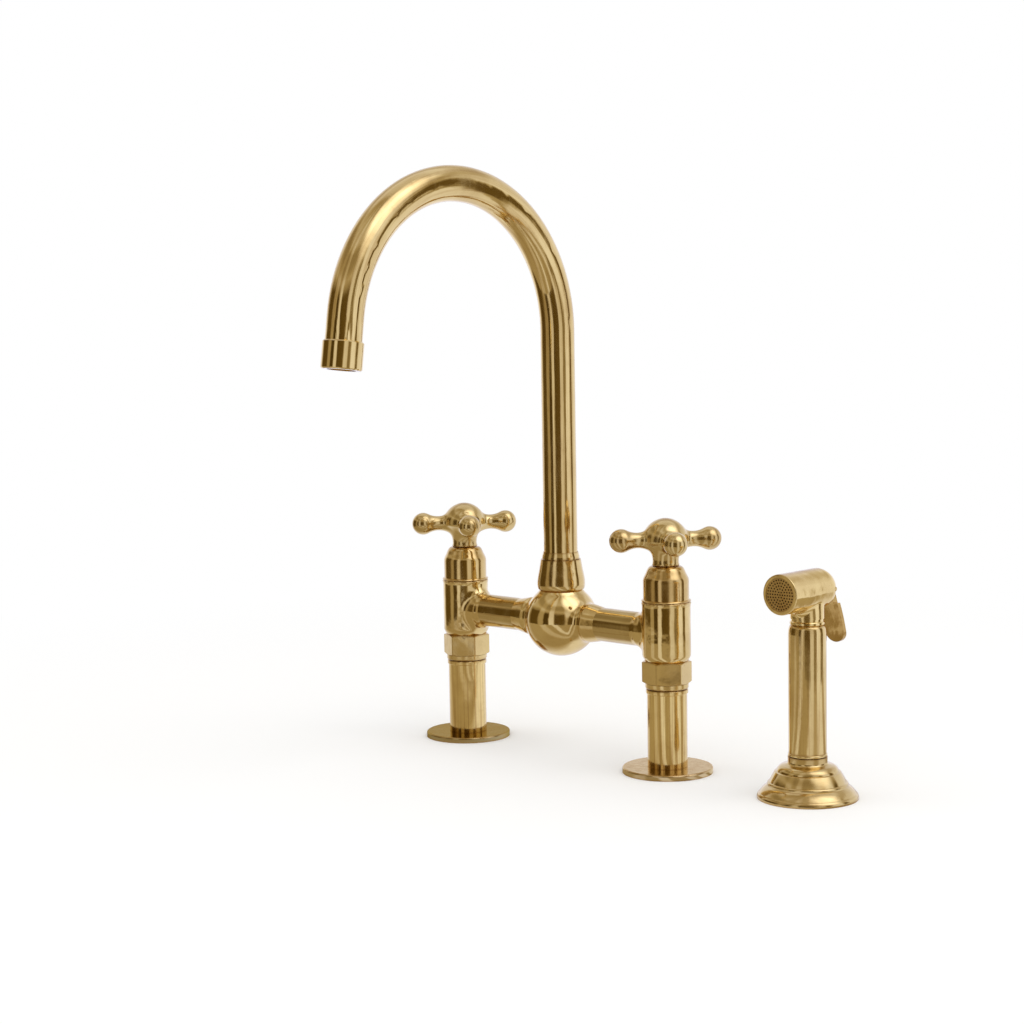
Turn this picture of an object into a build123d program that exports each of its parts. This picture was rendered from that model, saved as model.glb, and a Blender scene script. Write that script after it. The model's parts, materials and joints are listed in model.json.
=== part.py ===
"""Bridge kitchen faucet with two cross handles, a swivelling gooseneck and a hand spray.

Millimetres. +Z is up and z = 0 is the top of the deck. The legs stand on the X axis, one each
side of the origin, the spout points to -Y, and the hand spray stands on the X axis past the
right leg. A helper named after a piece makes that piece about the upright axis at x.
"""
import math
import os

from build123d import *

os.makedirs("parts", exist_ok=True)

# ---- layout ---------------------------------------------------------------------------------
leg_centres = 203.2          # eight inches between the legs
spray_offset = 123.2         # from the right leg to the hand spray
deck_thickness = 30          # worktop that the shanks clamp
size_match = 0.01            # how near its size an edge is when it is picked for rounding

# ---- clearances -----------------------------------------------------------------------------
thread_fit = 0.05            # radial, between a male and a female thread
seat_fit = 0.05              # radial, between pieces of one body that slide together
running_fit = 0.08           # radial, where one body turns or slides in another
end_play = 0.15              # along the axis, between bodies that turn on each other
free_gap = 0.35              # between bodies that pass without touching

# ---- deck flanges, shanks and legs ----------------------------------------------------------
flange_radius = 32.8
flange_thickness = 4.2
flange_edge = 1.2            # rounding of the upper rim
shank_radius = 10.48         # half of a G1/2 pipe thread's major diameter
shank_bore = 7.0
shank_below_deck = 32        # length below the worktop
shank_chamfer = 1
shank_relief = 1.0           # depth of the groove between the nut's thread and the supply's
shank_relief_width = 2.0
shank_supply = 17.5          # length of the supply's thread, from the shank's end
shank_in_leg = 16            # length screwed into the leg
washer_radius = 24
washer_thickness = 3
lock_nut_flats = 34          # across the flats
lock_nut_height = 8
leg_radius = 14.5
leg_bore = 9.0
leg_height = 53.6            # tube from the flange to the bead
leg_bead_radius = 15.3
leg_bead_height = 3.2
leg_bead_round = 0.7

# ---- tailpiece and union nut ----------------------------------------------------------------
tail_radius = 12.2
tail_thread_length = 14      # screwed down into the leg
tail_neck_length = 6.6       # from the leg to the lip
tail_lip_radius = 13.5
tail_lip_height = 2.4
union_washer_thickness = 2
union_flats = 31.5
union_hex_height = 16.3
union_collar_radius = 15.7
union_collar_height = 3.8
union_collar_round = 1.1
union_gap = 0.5              # between the leg's bead and the nut
union_turn = {"left": 35.5, "right": 44.5}   # where each nut came to rest, degrees
nut_chamfer = 1.1
nut_land = 0.2               # how far the chamfer starts inside the flats

# ---- valve bodies ---------------------------------------------------------------------------
valve_radius = 17.6
valve_height = 42.3          # from the foot taper to the joint with the bonnet
valve_taper = 1.6            # how far the foot draws in
valve_taper_height = 3.0
valve_bead = 1.2             # height of the bead at the joint
valve_bead_proud = 0.35
valve_bead_root = 1.0        # how deep the bead is rooted in the wall
joint_line = 0.2             # dark line between the valve body and the bonnet
spigot_inlet = 6.5
chamber_radius = 12.5
chamber_floor = 8.0          # above the valve body's foot
port_radius = 9.3

# ---- cartridges -----------------------------------------------------------------------------
seal_thickness = 1.5
disc_radius = 8.1
disc_thickness = 3
disc_port_radius = 1.9
disc_port_offset = 4.4
cartridge_wall = 1.2
cartridge_neck_height = 11   # threaded neck below the hexagon
cartridge_hex_flats = 25
cartridge_hex_height = 3
cartridge_nose_radius = 7.2
cartridge_nose_height = 12
window_width = 9
window_land = 1              # between the windows and the neck
stem_radius = 4.0
stem_foot_height = 1.8
ring_section = 0.5           # radius of the stem seal's round section
ring_clear = 0.02            # between the seal and the bore it runs in

# ---- bonnets --------------------------------------------------------------------------------
bonnet_radius = 16.6
bonnet_wall = 1.9
bonnet_straight = 13.2       # upright wall above the bead
bonnet_dome = 11.2           # height of the rounded shoulder
bonnet_top_radius = 9.8
bonnet_foot_slope = 0.3      # height of the step from the bead to the wall
bonnet_mid = (14.5, 6.0)     # radius and height above the wall, halfway round the shoulder
bonnet_core_gap = 1.0        # extra wall above the cartridge's hexagon

# ---- cross handles --------------------------------------------------------------------------
handle_foot_radius = 9.9
handle_neck_radius = 9.4
handle_neck_height = 2.8     # from the foot to the narrowest place
hub_radius = 16.7
hub_height = 17.3            # centre of the hub's dome above the foot
arm_height = 18.5            # arm axis above the foot
arm_count = 4
arm_angle = -38              # of the arm towards the front, degrees from +X
arm_tip = 41                 # from the handle's axis
arm_root = 12.5              # start of the waist, inside the hub
knob_neck = 11.9             # from the waist to the knob's centre
arm_waist_radius = 5.6
knob_radius = 8.6
stem_in_handle = 15
screw_radius = 1.75
screw_height = 5.4           # screw axis above the handle's foot
screw_socket = 1.1
screw_socket_depth = 2
screw_sunk = 0.3             # below the neck's surface

# ---- bridge ---------------------------------------------------------------------------------
bridge_radius = 12.4
bridge_wall = 1.5
bridge_in_valve = 4.0        # depth of the tube in the valve body's wall
valve_boss_radius = 13.3
valve_boss_length = 4.2
valve_boss_fillet = 3.2
valve_boss_clear = 0.2       # between the foot's taper and the rounding under the boss
ball_radius = 27.4
ball_socket_radius = 13.8
ball_socket_end = 33.5       # from the ball's centre
ball_socket_depth = 7
ball_fillet = 9.0

# ---- spout seat on the ball -----------------------------------------------------------------
seat_radius = 16.9
seat_rise = 1.233            # of the seat's edge above the ball's round
spigot_radius = 14.4
spigot_height = 14
spigot_bore = 10.55
glide_thickness = 1.0
glide_inset = 0.3            # inner edge of the lower ring, outside the spigot's bore
collar_gap = 0.8             # between the ball's seat and the collar
collar_foot_radius = 17.3
collar_belly_radius = 18.0
collar_belly_height = 5.0
collar_waist = (16.2, 15.7)  # radius and height where the bell draws in
collar_top_radius = 15.0
collar_height = 22.4

# ---- gooseneck ------------------------------------------------------------------------------
spout_radius = 12.7          # one inch tube
spout_wall = 1.5
spout_arch_radius = 105.5    # bend radius of the arch
riser_height = 175.65        # from the foot's flange to the arch
spout_bend = 172             # degrees
spout_drop = 16.8            # straight tube from the arch to the outlet ring
foot_flange_radius = 14.1
foot_flange_height = 2.6
foot_nipple_length = 24
foot_bore = 7.5
foot_in_tube = 16
groove_clear = 0.04          # between the seals and the spigot's bore, across both sides
ring_groove_heights = (6, 15)  # of the two seals, above the nipple's lower end
seal_section = 0.95
bead_ring_radius = 14.1
bead_ring_height = 5.2
bead_ring_gap = 0.4
bead_ring_band = 1.8         # height of the upright band below the slope
bead_ring_lip = 0.4          # thickness of the ring's upper edge

# ---- aerator --------------------------------------------------------------------------------
aerator_radius = 14.2
aerator_length = 19.4
aerator_socket = 7.5         # depth over the tube's end
aerator_bore = 11.2
aerator_mouth = 9.8
aerator_chamfer = 0.9
insert_height = 7
aerator_washer_height = 1.8
aerator_gap = 0.1            # between the tube's end and the washer
jet_radius = 0.85
jet_pitch = 2.4
jet_rings = 3

# ---- hand spray base ------------------------------------------------------------------------
base_radius = 34.6
base_rim_height = 1.2
# the mouldings as (radius, height): the first of a pair lies on the arc, the second ends it
base_rim_round = ((34.2, 2.6), (33.0, 3.9))
base_ogee = ((30.6, 6.8), (27.6, 8.9))
base_step_height = 1.0
base_step_round = ((27.2, 10.9), (26.2, 11.4))
base_dome = ((24.4, 15.2), (22.6, 18.3))
base_tier = (21.3, 18.7)
base_tier_round = ((19.6, 21.7), (16.6, 23.1))
base_ledge = (15.0, 23.6)
base_collar_root = (14.0, 24.2)
base_collar_bottom = 25.2
base_collar_radius = 13.6
base_top = 28.8
base_bore = 12.0
base_recess = 5
base_recess_radius = 27
base_recess_slope = 3
base_boss = 4                # wall round the shank
spray_shank_radius = 14.2
spray_shank_bore = 12.0
spray_shank_in_base = 6
spray_shank_below_deck = 24
spray_nut_flats = 42
spray_nut_height = 9
liner_bore = 10.4
liner_bottom = 8.0

# ---- hand spray handle ----------------------------------------------------------------------
ferrule_radius = 13.4
ferrule_height = 1.9
ferrule_round = 0.6
grip_radius = 13.0
grip_wall = 2.2
grip_height = 88.1
grip_shoulder = (1.9, 6.0)    # how far the grip draws in at its top, and over what height
plug_length = 12             # of the ferrule's plug inside the grip
spray_spigot_radius = 9.8
spray_spigot_bottom = 4.0
spray_spigot_taper = (1.5, 4.0)  # how far it draws in, and over what height
spray_water_way = 4.5
hose_nut_radius = 9.6
hose_nut_length = 24
hose_nut_bore = 3.2
hose_nut_taper = (1.5, 2.0, 3.0)  # how far both ends draw in, and the two heights
hose_nipple_length = 9

# ---- hand spray head ------------------------------------------------------------------------
neck_ring_radius = 11.9
neck_ring_height = 2.8
neck_ring_round = 0.7
neck_radius = 11.1
neck_height = 1.7
head_stub_radius = 11.7
barrel_rise = 19.1           # barrel's axis above the foot of the head
barrel_radius = 13.8
barrel_front = 31.2          # rose end, from the handle's axis
barrel_back = 22.8           # rounded end, from the handle's axis
barrel_front_round = 0.7
barrel_back_round = 12.4
front_bore = 11.5
front_bore_depth = 16.2
head_fillet = 4.0
rose_thickness = 2.0
rose_inset = 0.4
rose_hole_radius = 0.55
rose_pitch = 2.0
rose_rings = 5

# ---- trigger lever --------------------------------------------------------------------------
pivot_back = 14.5            # lever pin, behind the handle's axis
pin_radius = 1.5
pin_length = 26.4
lever_hub_radius = 5.6
lever_width = 12.0           # of the root between the head's cheeks
lever_root_drop = 11.2       # underside of the root below the pin
lever_thickness = 3.0
paddle_width = 16.0
paddle_reach = 21.7          # tip behind the pin
paddle_drop = 39.9           # tip below the pin
# points on the paddle's outside, behind and below the pin
paddle_bow = ((10.4, 5.5), (16.4, 20.5), (20.1, 32.5))
paddle_crown = (5.04, 2.41)  # end of the hub's round, behind and above the pin
paddle_lean = 1.2            # how thin the paddle is at its root
slot_drop = 13.4             # bottom of the slot in the head, below the pin

# ---- trigger valve --------------------------------------------------------------------------
plunger_drop = 8.0           # plunger axis below the pin
plunger_radius = 1.5
plunger_end = 11.6           # from the handle's axis
plunger_head_radius = 3.2
plunger_head = 1.1
plunger_nose = 0.9
valve_bore = 3.6
valve_seat = -1.0            # seat plane, from the handle's axis
stem_way = 2.6
stem_guide = 2.0
inlet_radius = 2.2
inlet_back = 0.6             # from the valve's seat to the inlet's edge
valve_washer = 2.0
valve_plug = 2.5
plug_hole_radius = 0.8
plug_hole_offset = 1.9
spring_wire = 0.3
spring_radius = 2.6
spring_turns = 6

# ---- worked out from the above --------------------------------------------------------------
left_x = -leg_centres / 2
right_x = leg_centres / 2
spray_x = right_x + spray_offset
leg_top = flange_thickness + leg_height + leg_bead_height
tail_lip_bottom = leg_top + tail_neck_length
tail_top = tail_lip_bottom + tail_lip_height
union_bottom = leg_top + union_gap
union_hex_bottom = union_bottom + union_collar_height
union_top = union_hex_bottom + union_hex_height
spigot_bottom = tail_top + union_washer_thickness
valve_bottom = union_top + union_gap
valve_top = valve_bottom + valve_height
chamber_bottom = valve_bottom + chamber_floor
bonnet_bottom = valve_top + joint_line
boss_bottom = valve_bottom + valve_taper_height + valve_boss_clear + valve_boss_fillet
bridge_height = boss_bottom + valve_boss_radius
bonnet_shoulder = bonnet_bottom + valve_bead + bonnet_straight
bonnet_top = bonnet_shoulder + bonnet_dome
handle_foot = bonnet_top + free_gap
handle_axis = handle_foot + arm_height
fixed_disc_bottom = chamber_bottom + seal_thickness
moving_disc_bottom = fixed_disc_bottom + disc_thickness + end_play
stem_foot = moving_disc_bottom + disc_thickness
cartridge_hex_bottom = valve_top
cartridge_neck_bottom = cartridge_hex_bottom - cartridge_neck_height
cartridge_hex_top = cartridge_hex_bottom + cartridge_hex_height
seat_height = math.sqrt(ball_radius**2 - seat_radius**2) + seat_rise
ball_bottom_of_seat = bridge_height + seat_height
spigot_top = ball_bottom_of_seat + spigot_height
foot_flange_bottom = spigot_top + glide_thickness + end_play
foot_flange_top = foot_flange_bottom + foot_flange_height
spout_spring = foot_flange_top + riser_height
collar_bottom = ball_bottom_of_seat + collar_gap
collar_top = collar_bottom + collar_height
collar_lip_bottom = foot_flange_top + end_play + glide_thickness
knob_centre = arm_tip - knob_radius
arm_waist = knob_centre - knob_neck
stem_groove_radius = stem_radius + running_fit - ring_clear - 2 * ring_section
ferrule_bottom = base_top + free_gap
grip_bottom = ferrule_bottom + ferrule_height
grip_top = grip_bottom + grip_height
neck_ring_bottom = grip_top + joint_line
neck_bottom = neck_ring_bottom + neck_ring_height
stub_bottom = neck_bottom + neck_height
head_axis = stub_bottom + barrel_rise
plunger_height = head_axis - plunger_drop


def save(piece, name):
    """Label a finished piece and write it under its own name."""
    piece.part.label = name
    export_step(piece.part, "parts/" + name + ".step")


def upright(x):
    """Plane of a turned outline about the axis at x: its x is the radius, its y the height."""
    return Plane(origin=(x, 0, 0), x_dir=(1, 0, 0), z_dir=(0, -1, 0))


def axis_at(x):
    """Upright axis through the deck at x."""
    return Axis((x, 0, 0), (0, 0, 1))


def turn(x, *outline, mode=Mode.ADD):
    """Turn a closed outline of (radius, height) points about the upright axis at x."""
    with BuildSketch(upright(x)) as section:
        with BuildLine():
            Polyline(*outline, close=True)
        make_face()
    revolve(section.sketch, axis=axis_at(x), mode=mode)


def bore(x, radius, bottom, top):
    """Cut a round hole about the upright axis at x."""
    with BuildSketch(Plane((x, 0, bottom))) as circle:
        Circle(radius)
    extrude(circle.sketch, amount=top - bottom, mode=Mode.SUBTRACT)


def hexagon(x, flats, bottom, top, turned=0):
    """Hexagonal nut blank, its corners chamfered at both ends."""
    with BuildSketch(Plane((x, 0, bottom))) as blank:
        RegularPolygon(radius=flats / 2, side_count=6, major_radius=False, rotation=turned)
    extrude(blank.sketch, amount=top - bottom)
    corner = flats / 2 + 2 * nut_chamfer
    turn(
        x,
        (0, bottom),
        (flats / 2 - nut_land, bottom),
        (corner, bottom + nut_chamfer),
        (corner, top - nut_chamfer),
        (flats / 2 - nut_land, top),
        (0, top),
        mode=Mode.INTERSECT,
    )


def o_ring(x, inner_radius, section_radius, height):
    """Rubber ring of round section, its inner edge on a groove of the given radius."""
    with BuildSketch(upright(x)) as section:
        with Locations((inner_radius + section_radius, height)):
            Circle(section_radius)
    revolve(section.sketch, axis=axis_at(x))


# ---- legs -----------------------------------------------------------------------------------
def deck_flange(x):
    with BuildPart() as flange:
        turn(
            x,
            (shank_radius + thread_fit, 0),
            (flange_radius, 0),
            (flange_radius, flange_thickness),
            (shank_radius + thread_fit, flange_thickness),
        )
        rim = flange.edges().filter_by(GeomType.CIRCLE).group_by(Axis.Z)[-1].sort_by(SortBy.RADIUS)[-1]
        fillet(rim, flange_edge)
    return flange


def shank(x):
    relief_bottom = shank_supply - deck_thickness - shank_below_deck
    with BuildPart() as tube:
        turn(
            x,
            (shank_bore, -deck_thickness - shank_below_deck),
            (shank_radius - shank_chamfer, -deck_thickness - shank_below_deck),
            (shank_radius, -deck_thickness - shank_below_deck + shank_chamfer),
            (shank_radius, relief_bottom),
            (shank_radius - shank_relief, relief_bottom),
            (shank_radius - shank_relief, relief_bottom + shank_relief_width),
            (shank_radius, relief_bottom + shank_relief_width),
            (shank_radius, flange_thickness + shank_in_leg),
            (shank_bore, flange_thickness + shank_in_leg),
        )
    return tube


def shank_washers(places, inner_radius):
    with BuildPart() as washers:
        for x in places:
            turn(
                x,
                (inner_radius + thread_fit, -deck_thickness - washer_thickness),
                (washer_radius, -deck_thickness - washer_thickness),
                (washer_radius, -deck_thickness),
                (inner_radius + thread_fit, -deck_thickness),
            )
    return washers


def lock_nut(x, inner_radius, flats, height):
    top = -deck_thickness - washer_thickness
    with BuildPart() as nut:
        hexagon(x, flats, top - height, top)
        bore(x, inner_radius + thread_fit, top - height, top)
    return nut


def leg(x):
    bead_bottom = leg_top - leg_bead_height
    with BuildPart() as column:
        turn(
            x,
            (leg_bore, flange_thickness),
            (leg_radius, flange_thickness),
            (leg_radius, bead_bottom),
            (leg_bead_radius, bead_bottom),
            (leg_bead_radius, leg_top),
            (leg_bore, leg_top),
        )
        bore(x, shank_radius + thread_fit, flange_thickness, flange_thickness + shank_in_leg)
        bore(x, tail_radius + thread_fit, leg_top - tail_thread_length, leg_top)
        bead = column.edges().filter_by(GeomType.CIRCLE).filter_by(
            lambda edge: abs(edge.radius - leg_bead_radius) < size_match
        )
        fillet(bead, leg_bead_round)
    return column


def tailpiece(x):
    with BuildPart() as tail:
        turn(
            x,
            (leg_bore, leg_top - tail_thread_length),
            (tail_radius, leg_top - tail_thread_length),
            (tail_radius, tail_lip_bottom),
            (tail_lip_radius, tail_lip_bottom),
            (tail_lip_radius, tail_top),
            (leg_bore, tail_top),
        )
    return tail


def union_nut(x, turned):
    with BuildPart() as nut:
        hexagon(x, union_flats, union_hex_bottom, union_top, turned)
        with BuildSketch(Plane((x, 0, union_bottom))) as collar:
            Circle(union_collar_radius)
        extrude(collar.sketch, amount=union_collar_height)
        lower_rim = nut.edges().filter_by(GeomType.CIRCLE).group_by(Axis.Z)[0]
        fillet(lower_rim, union_collar_round)
        bore(x, tail_radius + free_gap, union_bottom, union_top)
        bore(x, tail_lip_radius + free_gap, tail_lip_bottom, union_top)
    return nut


def union_washers(places):
    with BuildPart() as washers:
        for x in places:
            turn(
                x,
                (leg_bore, tail_top),
                (tail_lip_radius, tail_top),
                (tail_lip_radius, spigot_bottom),
                (leg_bore, spigot_bottom),
            )
    return washers


# ---- valves ---------------------------------------------------------------------------------
def valve_body(x, towards_ball):
    """Tee with the union spigot below, the cartridge chamber inside and the bridge port."""
    boss_end = valve_radius + valve_boss_length
    with BuildPart() as body:
        turn(
            x,
            (0, valve_bottom),
            (valve_radius - valve_taper, valve_bottom),
            (valve_radius, valve_bottom + valve_taper_height),
            (valve_radius, valve_top),
            (0, valve_top),
        )
        foot = body.edges().filter_by(GeomType.CIRCLE).group_by(Axis.Z)[1]
        fillet(foot, valve_taper_height)
        with BuildSketch(Plane(origin=(x, 0, bridge_height), z_dir=(towards_ball, 0, 0))) as boss:
            Circle(valve_boss_radius)
        extrude(boss.sketch, amount=boss_end)
        root = body.edges().filter_by(GeomType.BSPLINE)
        fillet(root, valve_boss_fillet)
        turn(
            x,
            (0, spigot_bottom),
            (tail_lip_radius + free_gap - thread_fit, spigot_bottom),
            (tail_lip_radius + free_gap - thread_fit, valve_bottom),
            (0, valve_bottom),
        )
        turn(
            x,
            (valve_radius - valve_bead_root, valve_top - valve_bead),
            (valve_radius, valve_top - valve_bead),
            (valve_radius + valve_bead_proud, valve_top - valve_bead / 2),
            (valve_radius, valve_top),
            (valve_radius - valve_bead_root, valve_top),
        )
        bore(x, spigot_inlet, spigot_bottom, chamber_bottom)
        bore(x, chamber_radius, chamber_bottom, valve_top)
        with BuildSketch(Plane(origin=(x, 0, bridge_height), z_dir=(towards_ball, 0, 0))) as port:
            Circle(port_radius)
        extrude(port.sketch, amount=boss_end, mode=Mode.SUBTRACT)
        socket_floor = Plane(
            origin=(x + towards_ball * (valve_radius - bridge_in_valve), 0, bridge_height),
            z_dir=(towards_ball, 0, 0),
        )
        with BuildSketch(socket_floor) as socket:
            Circle(bridge_radius + seat_fit)
        extrude(socket.sketch, amount=bridge_in_valve + valve_boss_length, mode=Mode.SUBTRACT)
    return body


def seat_seals(places):
    with BuildPart() as seals:
        for x in places:
            turn(
                x,
                (spigot_inlet, chamber_bottom),
                (disc_radius, chamber_bottom),
                (disc_radius, fixed_disc_bottom),
                (spigot_inlet, fixed_disc_bottom),
            )
    return seals


def ceramic_discs(places, bottom, port_angle):
    """Polished ceramic discs, each with two round ports on opposite sides."""
    with BuildPart() as discs:
        for x in places:
            with BuildSketch(Plane((x, 0, bottom))) as outline:
                Circle(disc_radius)
                with PolarLocations(disc_port_offset, 2, start_angle=port_angle):
                    Circle(disc_port_radius, mode=Mode.SUBTRACT)
            extrude(outline.sketch, amount=disc_thickness)
    return discs


def cartridge(x):
    """Brass cartridge: skirt round the discs with two windows, neck, hexagon and nose."""
    skirt_inside = disc_radius + running_fit
    skirt_outside = skirt_inside + cartridge_wall
    foot_top = stem_foot + stem_foot_height + end_play
    with BuildPart() as housing:
        hexagon(x, cartridge_hex_flats, cartridge_hex_bottom, cartridge_hex_top)
        turn(
            x,
            (0, fixed_disc_bottom),
            (skirt_outside, fixed_disc_bottom),
            (skirt_outside, cartridge_neck_bottom),
            (chamber_radius - thread_fit, cartridge_neck_bottom),
            (chamber_radius - thread_fit, cartridge_hex_bottom),
            (0, cartridge_hex_bottom),
        )
        turn(
            x,
            (0, cartridge_hex_top),
            (cartridge_nose_radius, cartridge_hex_top),
            (cartridge_nose_radius, cartridge_hex_top + cartridge_nose_height),
            (0, cartridge_hex_top + cartridge_nose_height),
        )
        bore(x, skirt_inside, fixed_disc_bottom, cartridge_neck_bottom)
        bore(x, stem_radius + running_fit, cartridge_neck_bottom, handle_foot)
        with BuildSketch(Plane((x, 0, foot_top))) as window:
            Rectangle(window_width, 2 * chamber_radius)
        window_height = cartridge_neck_bottom - foot_top - window_land
        extrude(window.sketch, amount=window_height, mode=Mode.SUBTRACT)
    return housing


def valve_stem(x):
    """Spindle with a foot that drives the moving disc and a groove for its seal."""
    groove = cartridge_hex_bottom
    with BuildPart() as stem:
        turn(
            x,
            (0, stem_foot),
            (disc_radius, stem_foot),
            (disc_radius, stem_foot + stem_foot_height),
            (stem_radius, stem_foot + stem_foot_height),
            (stem_radius, groove - ring_section),
            (stem_groove_radius, groove - ring_section),
            (stem_groove_radius, groove + ring_section),
            (stem_radius, groove + ring_section),
            (stem_radius, handle_foot + stem_in_handle),
            (0, handle_foot + stem_in_handle),
        )
    return stem


def stem_ring(x):
    with BuildPart() as ring:
        o_ring(x, stem_groove_radius, ring_section, cartridge_hex_bottom)
    return ring


def bonnet(x):
    """Domed brass cover over the cartridge, with a bead at its foot."""
    wall_top = cartridge_hex_top + free_gap
    hex_corner = cartridge_hex_flats / 2 + 2 * nut_chamfer
    inner_radius = bonnet_radius - bonnet_wall - bonnet_core_gap
    with BuildPart() as cover:
        with BuildSketch(upright(x)) as section:
            with BuildLine():
                foot = Polyline(
                    (0, bonnet_bottom),
                    (valve_radius, bonnet_bottom),
                    (valve_radius + valve_bead_proud, bonnet_bottom + valve_bead / 2),
                    (valve_radius, bonnet_bottom + valve_bead),
                    (bonnet_radius, bonnet_bottom + valve_bead + bonnet_foot_slope),
                    (bonnet_radius, bonnet_shoulder),
                )
                shoulder = Spline(
                    foot @ 1,
                    (bonnet_mid[0], bonnet_shoulder + bonnet_mid[1]),
                    (bonnet_top_radius, bonnet_top),
                    tangents=((0, 1), (-1, 0.1)),
                )
                Polyline(shoulder @ 1, (0, bonnet_top), (0, bonnet_bottom))
            make_face()
        revolve(section.sketch, axis=axis_at(x))
        bore(x, hex_corner + seat_fit, bonnet_bottom, wall_top)
        turn(
            x,
            (0, wall_top),
            (inner_radius, wall_top),
            (inner_radius, bonnet_shoulder),
            (stem_radius + free_gap, bonnet_top - bonnet_wall),
            (0, bonnet_top - bonnet_wall),
            mode=Mode.SUBTRACT,
        )
        bore(x, stem_radius + free_gap, bonnet_bottom, bonnet_top)
    return cover


# ---- cross handle ---------------------------------------------------------------------------
def cross_handle(x):
    """Domed hub on a trumpet neck, with four waisted arms that end in rounded knobs."""
    hub_centre = handle_foot + hub_height
    # the waist is an arc that runs over into the knob's circle
    reach = knob_centre - arm_waist
    waist_arc = (reach**2 + arm_waist_radius**2 - knob_radius**2) / (2 * (knob_radius - arm_waist_radius))
    waist_rise = arm_waist_radius + waist_arc
    waist_side = reach / (waist_arc + knob_radius)
    waist_up = waist_rise / (waist_arc + knob_radius)
    with BuildPart() as handle:
        with BuildSketch(upright(x)) as section:
            with BuildLine():
                foot = Line((0, handle_foot), (handle_foot_radius, handle_foot))
                narrow = (handle_neck_radius, handle_foot + handle_neck_height)
                TangentArc(narrow, foot @ 1, tangent=(0, -1))
                TangentArc(narrow, (hub_radius, hub_centre), tangent=(0, 1))
                dome = CenterArc((0, hub_centre), hub_radius, 0, 90)
                Line(dome @ 1, (0, handle_foot))
            make_face()
        revolve(section.sketch, axis=axis_at(x))
        for number in range(arm_count):
            angle = arm_angle + number * 360 / arm_count
            along = Vector(1, 0, 0).rotate(Axis.Z, angle)
            arm_plane = Plane(
                origin=(x, 0, handle_axis),
                x_dir=along,
                z_dir=along.cross(Vector(0, 0, 1)),
            )
            with BuildSketch(arm_plane) as half_arm:
                with BuildLine():
                    waist = ThreePointArc(
                        (arm_root, waist_rise - math.sqrt(waist_arc**2 - (arm_waist - arm_root) ** 2)),
                        (arm_waist, arm_waist_radius),
                        (knob_centre - knob_radius * waist_side, knob_radius * waist_up),
                    )
                    knob = ThreePointArc(waist @ 1, (knob_centre, knob_radius), (arm_tip, 0))
                    Polyline(knob @ 1, (0, 0), (0, (waist @ 0).Y), waist @ 0)
                make_face()
            revolve(half_arm.sketch, axis=Axis(arm_plane.origin, along))
        bore(x, stem_radius + seat_fit, handle_foot, handle_foot + stem_in_handle + seat_fit)
        screw_plane = Plane(origin=(x, 0, handle_foot + screw_height), z_dir=(0, 1, 0))
        with BuildSketch(screw_plane) as screw_hole:
            Circle(screw_radius)
        extrude(screw_hole.sketch, amount=hub_radius, mode=Mode.SUBTRACT)
    return handle


def handle_screw(x):
    """Grub screw in the back of the neck that grips the stem, with a hexagon socket."""
    start = stem_radius + seat_fit
    length = handle_neck_radius - start - screw_sunk
    screw_plane = Plane(origin=(x, start, handle_foot + screw_height), z_dir=(0, 1, 0))
    with BuildPart() as screw:
        with BuildSketch(screw_plane) as shaft:
            Circle(screw_radius - thread_fit)
        extrude(shaft.sketch, amount=length)
        with BuildSketch(screw_plane.offset(length - screw_socket_depth)) as socket:
            RegularPolygon(radius=screw_socket, side_count=6)
        extrude(socket.sketch, amount=screw_socket_depth, mode=Mode.SUBTRACT)
    return screw


leg_places = (left_x, right_x)
save(shank_washers(leg_places, shank_radius), "leg_shank_washers")
save(union_washers(leg_places), "union_washers")
save(seat_seals(leg_places), "seat_seals")
save(ceramic_discs(leg_places, fixed_disc_bottom, 0), "fixed_discs")

for side, x, towards_ball in (("left", left_x, 1), ("right", right_x, -1)):
    save(deck_flange(x), side + "_deck_flange")
    save(shank(x), side + "_shank")
    save(lock_nut(x, shank_radius, lock_nut_flats, lock_nut_height), side + "_lock_nut")
    save(leg(x), side + "_leg")
    save(tailpiece(x), side + "_tailpiece")
    save(union_nut(x, union_turn[side]), side + "_union_nut")
    save(valve_body(x, towards_ball), side + "_valve_body")
    save(cartridge(x), side + "_cartridge")
    save(bonnet(x), side + "_bonnet")
    save(ceramic_discs([x], moving_disc_bottom, 90), side + "_moving_disc")
    save(valve_stem(x), side + "_valve_stem")
    save(stem_ring(x), side + "_stem_ring")
    save(cross_handle(x), side + "_cross_handle")
    save(handle_screw(x), side + "_handle_screw")


# ---- bridge ---------------------------------------------------------------------------------
tube_start = left_x + valve_radius - bridge_in_valve
tube_end = -ball_socket_end + ball_socket_depth

for side, towards_ball in (("left", 1), ("right", -1)):
    tube_plane = Plane(origin=(towards_ball * tube_start, 0, bridge_height), z_dir=(towards_ball, 0, 0))
    with BuildPart() as bridge_tube:
        with BuildSketch(tube_plane):
            Circle(bridge_radius)
            Circle(bridge_radius - bridge_wall, mode=Mode.SUBTRACT)
        extrude(amount=tube_end - tube_start)
    save(bridge_tube, side + "_bridge_tube")

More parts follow.
